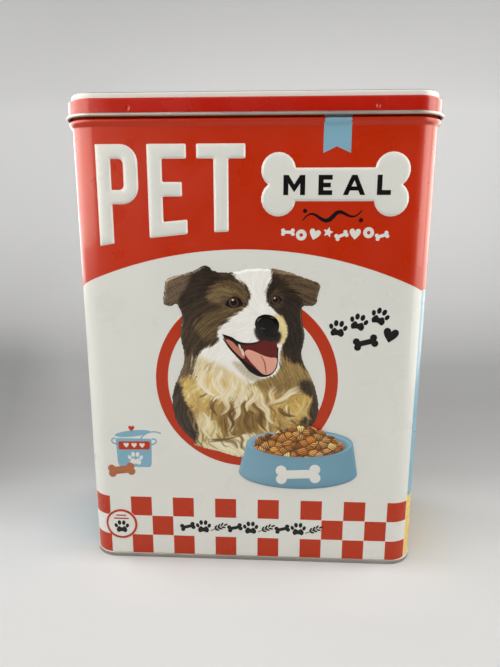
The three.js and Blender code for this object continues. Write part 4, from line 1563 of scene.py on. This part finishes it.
def add_word():
    """Four block capitals on the bone: their stems are bar wide."""
    low, high, bar = 210, 219.8, 2.5
    m = [(16.3, low), (16.3 + bar, low), (16.3 + bar, high - 4), (21.8, low + 1.4), (27.3 - bar, high - 4),
         (27.3 - bar, low), (27.3, low), (27.3, high), (24.7, high), (21.8, high - 4.6), (18.9, high),
         (16.3, high)]
    e = [(34, low), (41, low), (41, low + 2.3), (34 + bar, low + 2.3), (34 + bar, low + 3.8),
         (40.2, low + 3.8), (40.2, low + 6), (34 + bar, low + 6), (34 + bar, high - 2.3), (41, high - 2.3),
         (41, high), (34, high)]
    a = [(46.4, low), (49, low), (49.9, low + 2.2), (54.1, low + 2.2), (55, low), (57.6, low),
         (53.3, high), (50.7, high)]
    hole = [(50.6, low + 4.2), (53.4, low + 4.2), (52, high - 2.6)]
    last = [(63.4, low), (70.4, low), (70.4, low + 2.4), (63.4 + bar, low + 2.4), (63.4 + bar, high),
            (63.4, high)]
    print_patch("print_word", [m, e, a, hole, last], 4, BLACK, lift=EMBOSS)


add_wall_motifs()
add_far_motifs()
add_lid_motifs()
add_pot()
add_roundel()
add_word()

# --- Stage and light ---

SWEEP_FRONT, SWEEP_BACK, SWEEP_BEND, SWEEP_TOP, SWEEP_SIDE = -1500, 900, 500, 2600, 2600

# Painted light and shade of the paper: a tone for each reach, the way back plus the way up, in metres.
PAPER_SHADE_TONES = (
    (-0.3, 0.57), (-0.11, 0.6), (-0.07, 0.63), (-0.03, 0.6), (0.02, 0.52), (0.08, 0.4), (0.16, 0.35),
    (0.25, 0.335), (0.4, 0.375), (0.7, 0.6), (1, 0.76), (1.35, 0.9), (1.6, 0.66), (3.3, 0.5),
)
# Painted light and shadow where the paper meets the tin: how far it reaches, and its weight in front, where
# the paper is painted lighter, and at the sides, where it is painted darker.
CONTACT_REACH = 50
CONTACT_FRONT, CONTACT_SIDES = 1.4, 0.6
# Painted shade towards the left of the paper: how its edge leans, and how dark it is near the tin and farther
# back.
LEFT_LEAN = 0.44
NEAR_LEFT_DIM, FAR_LEFT_DIM = 0.045, 0.27


def paper(name, tones):
    """Matt paper with painted light and shade: tones by reach, a painted light just in front of the tin, a
    painted contact shadow where its sides touch the floor, and painted shade towards the left. Places on it
    are in metres."""
    look = Shader(name)
    place = look.add("SeparateXYZ", Vector=look.place).outputs
    x, y = place["X"], place["Y"]
    reach = look.math("ADD", y, place["Z"])
    nearest, farthest = tones[0][0], tones[-1][0]
    # Painted light and shade: the paper's tone follows reach through this ramp.
    fades = look.add("ValToRGB", Fac=look.span(reach, nearest, farthest, 0, 1))
    stops = fades.color_ramp.elements
    for _ in tones[2:]:
        stops.new(0.5)
    for stop, (where, _) in zip(stops, tones):
        stop.position = (where - nearest) / (farthest - nearest)
    for stop, (_, tone) in zip(stops, tones):
        stop.color = (tone, tone * 0.995, tone * 0.975, 1)

    # A painted contact shadow beside the tin, and a painted light on the strip just in front of it.
    open_sky = look.add("AmbientOcclusion", Distance=CONTACT_REACH * MM).outputs["AO"]
    touching = look.span(y, -0.05, -0.035, CONTACT_FRONT, CONTACT_SIDES)
    contact = look.math("ADD", touching, look.math("MULTIPLY", open_sky, look.math("SUBTRACT", 1, touching)))

    # Painted shade towards the left, behind the tin and beside it.
    behind = look.math("MULTIPLY", look.span(reach, -0.02, 0.05, 0, 1), look.span(reach, 0.33, 0.6, 1, 0))
    slant = look.math("MULTIPLY_ADD", y, LEFT_LEAN, x)
    far_left = look.math("MULTIPLY", look.span(slant, -0.185, -0.115, 1, 0), behind)
    near_left = look.math("MULTIPLY", look.span(x, -0.15, 0, 1, 0), look.span(reach, 0.2, 0.6, 1, 0))
    far_dim = look.math("MULTIPLY", far_left, FAR_LEFT_DIM)
    lit = look.math("SUBTRACT", 1, look.math("MULTIPLY_ADD", near_left, NEAR_LEFT_DIM, far_dim))

    light = look.math("MULTIPLY", contact, lit)
    look.set("Base Color", look.blend(1, fades.outputs["Color"], light, "MULTIPLY"))
    look.set("Roughness", 0.9)
    look.set("Specular IOR Level", 0)
    return look.material


def add_stage():
    """A pale floor that sweeps up behind the tin."""
    start = SWEEP_BACK - SWEEP_BEND
    line = [(SWEEP_FRONT, 0)] + arc(start, SWEEP_BEND, SWEEP_BEND, -90, 0, 24) + [(SWEEP_BACK, SWEEP_TOP)]
    points = [(x * MM, y * MM, z * MM) for x in (-SWEEP_SIDE, SWEEP_SIDE) for y, z in line]
    n = len(line)
    mesh = bpy.data.meshes.new("floor_sweep")
    mesh.from_pydata(points, [], [(i, n + i, n + i + 1, i + 1) for i in range(n - 1)])
    mesh.shade_smooth()
    mesh.materials.append(paper("paper", PAPER_SHADE_TONES))
    floor = bpy.data.objects.new("floor_sweep", mesh)
    bpy.context.scene.collection.objects.link(floor)


WHITE_LIGHT, WARM_LIGHT = (1, 1, 1), (1, 0.93, 0.84)

# Boxes that show only in the shine of the tin's round corners, aimed level across it:
# name, place, size, power and colour.
SHINES = (
    ("left_window", (-450, 365, 460), (660, 680), 5.15, WHITE_LIGHT),
    ("left_glow", (-450, -450, 485), (975, 630), 13.6, WARM_LIGHT),
    ("right_window", (450, 202, 450), (396, 600), 3.75, WARM_LIGHT),
    ("right_pane", (450, -158, 450), (265, 600), 3.75, WARM_LIGHT),
    ("right_low", (450, 55, 0), (690, 300), 2.15, WARM_LIGHT),
)

# Boxes that light the colours of the tin and the paper but don't shine: name, place, aim, size and power.
FILLS = (
    ("left_fill", (-450, -60, 220), (0, -60, 180), (700, 440), 1.65),
    ("right_fill", (540, -130, 260), (0, 0, 130), (500, 800), 2.1),
    ("top_box", (0, -500, 900), (0, 0, 60), (1000, 900), 6.75),
    ("back_left_box", (-1100, 300, 1450), (-1100, 860, 350), (1200, 500), 9.5),
    ("back_right_box", (1100, 300, 1450), (1100, 860, 350), (1200, 500), 9.5),
)


def add_softbox(name, place, aim, size, power, colour=WHITE_LIGHT, shines=False):
    """A rectangular lamp that either shines in glossy surfaces or lights matt ones."""
    data = bpy.data.lights.new(name, "AREA")
    data.color = colour
    data.shape = "RECTANGLE"
    data.size, data.size_y = size[0] * MM, size[1] * MM
    data.energy = power
    lamp = bpy.data.objects.new(name, data)
    lamp.location = Vector(place) * MM
    lamp.rotation_euler = (Vector(aim) - Vector(place)).to_track_quat("-Z", "Y").to_euler()
    lamp.visible_camera = False
    lamp.visible_diffuse = not shines
    lamp.visible_glossy = shines
    bpy.context.scene.collection.objects.link(lamp)


def add_light():
    """A dim room and the boxes that light the tin."""
    world = bpy.data.worlds.new("room")
    world.use_nodes = True
    room = world.node_tree.nodes["Background"].inputs
    room["Color"].default_value = (0.93, 0.96, 1, 1)
    room["Strength"].default_value = 0.06
    bpy.context.scene.world = world
    for name, place, size, power, colour in SHINES:
        add_softbox(name, place, (0, *place[1:]), size, power, colour, shines=True)
    for fill_light in FILLS:
        add_softbox(*fill_light)
    bpy.context.scene.view_settings.view_transform = "Standard"


add_stage()
add_light()
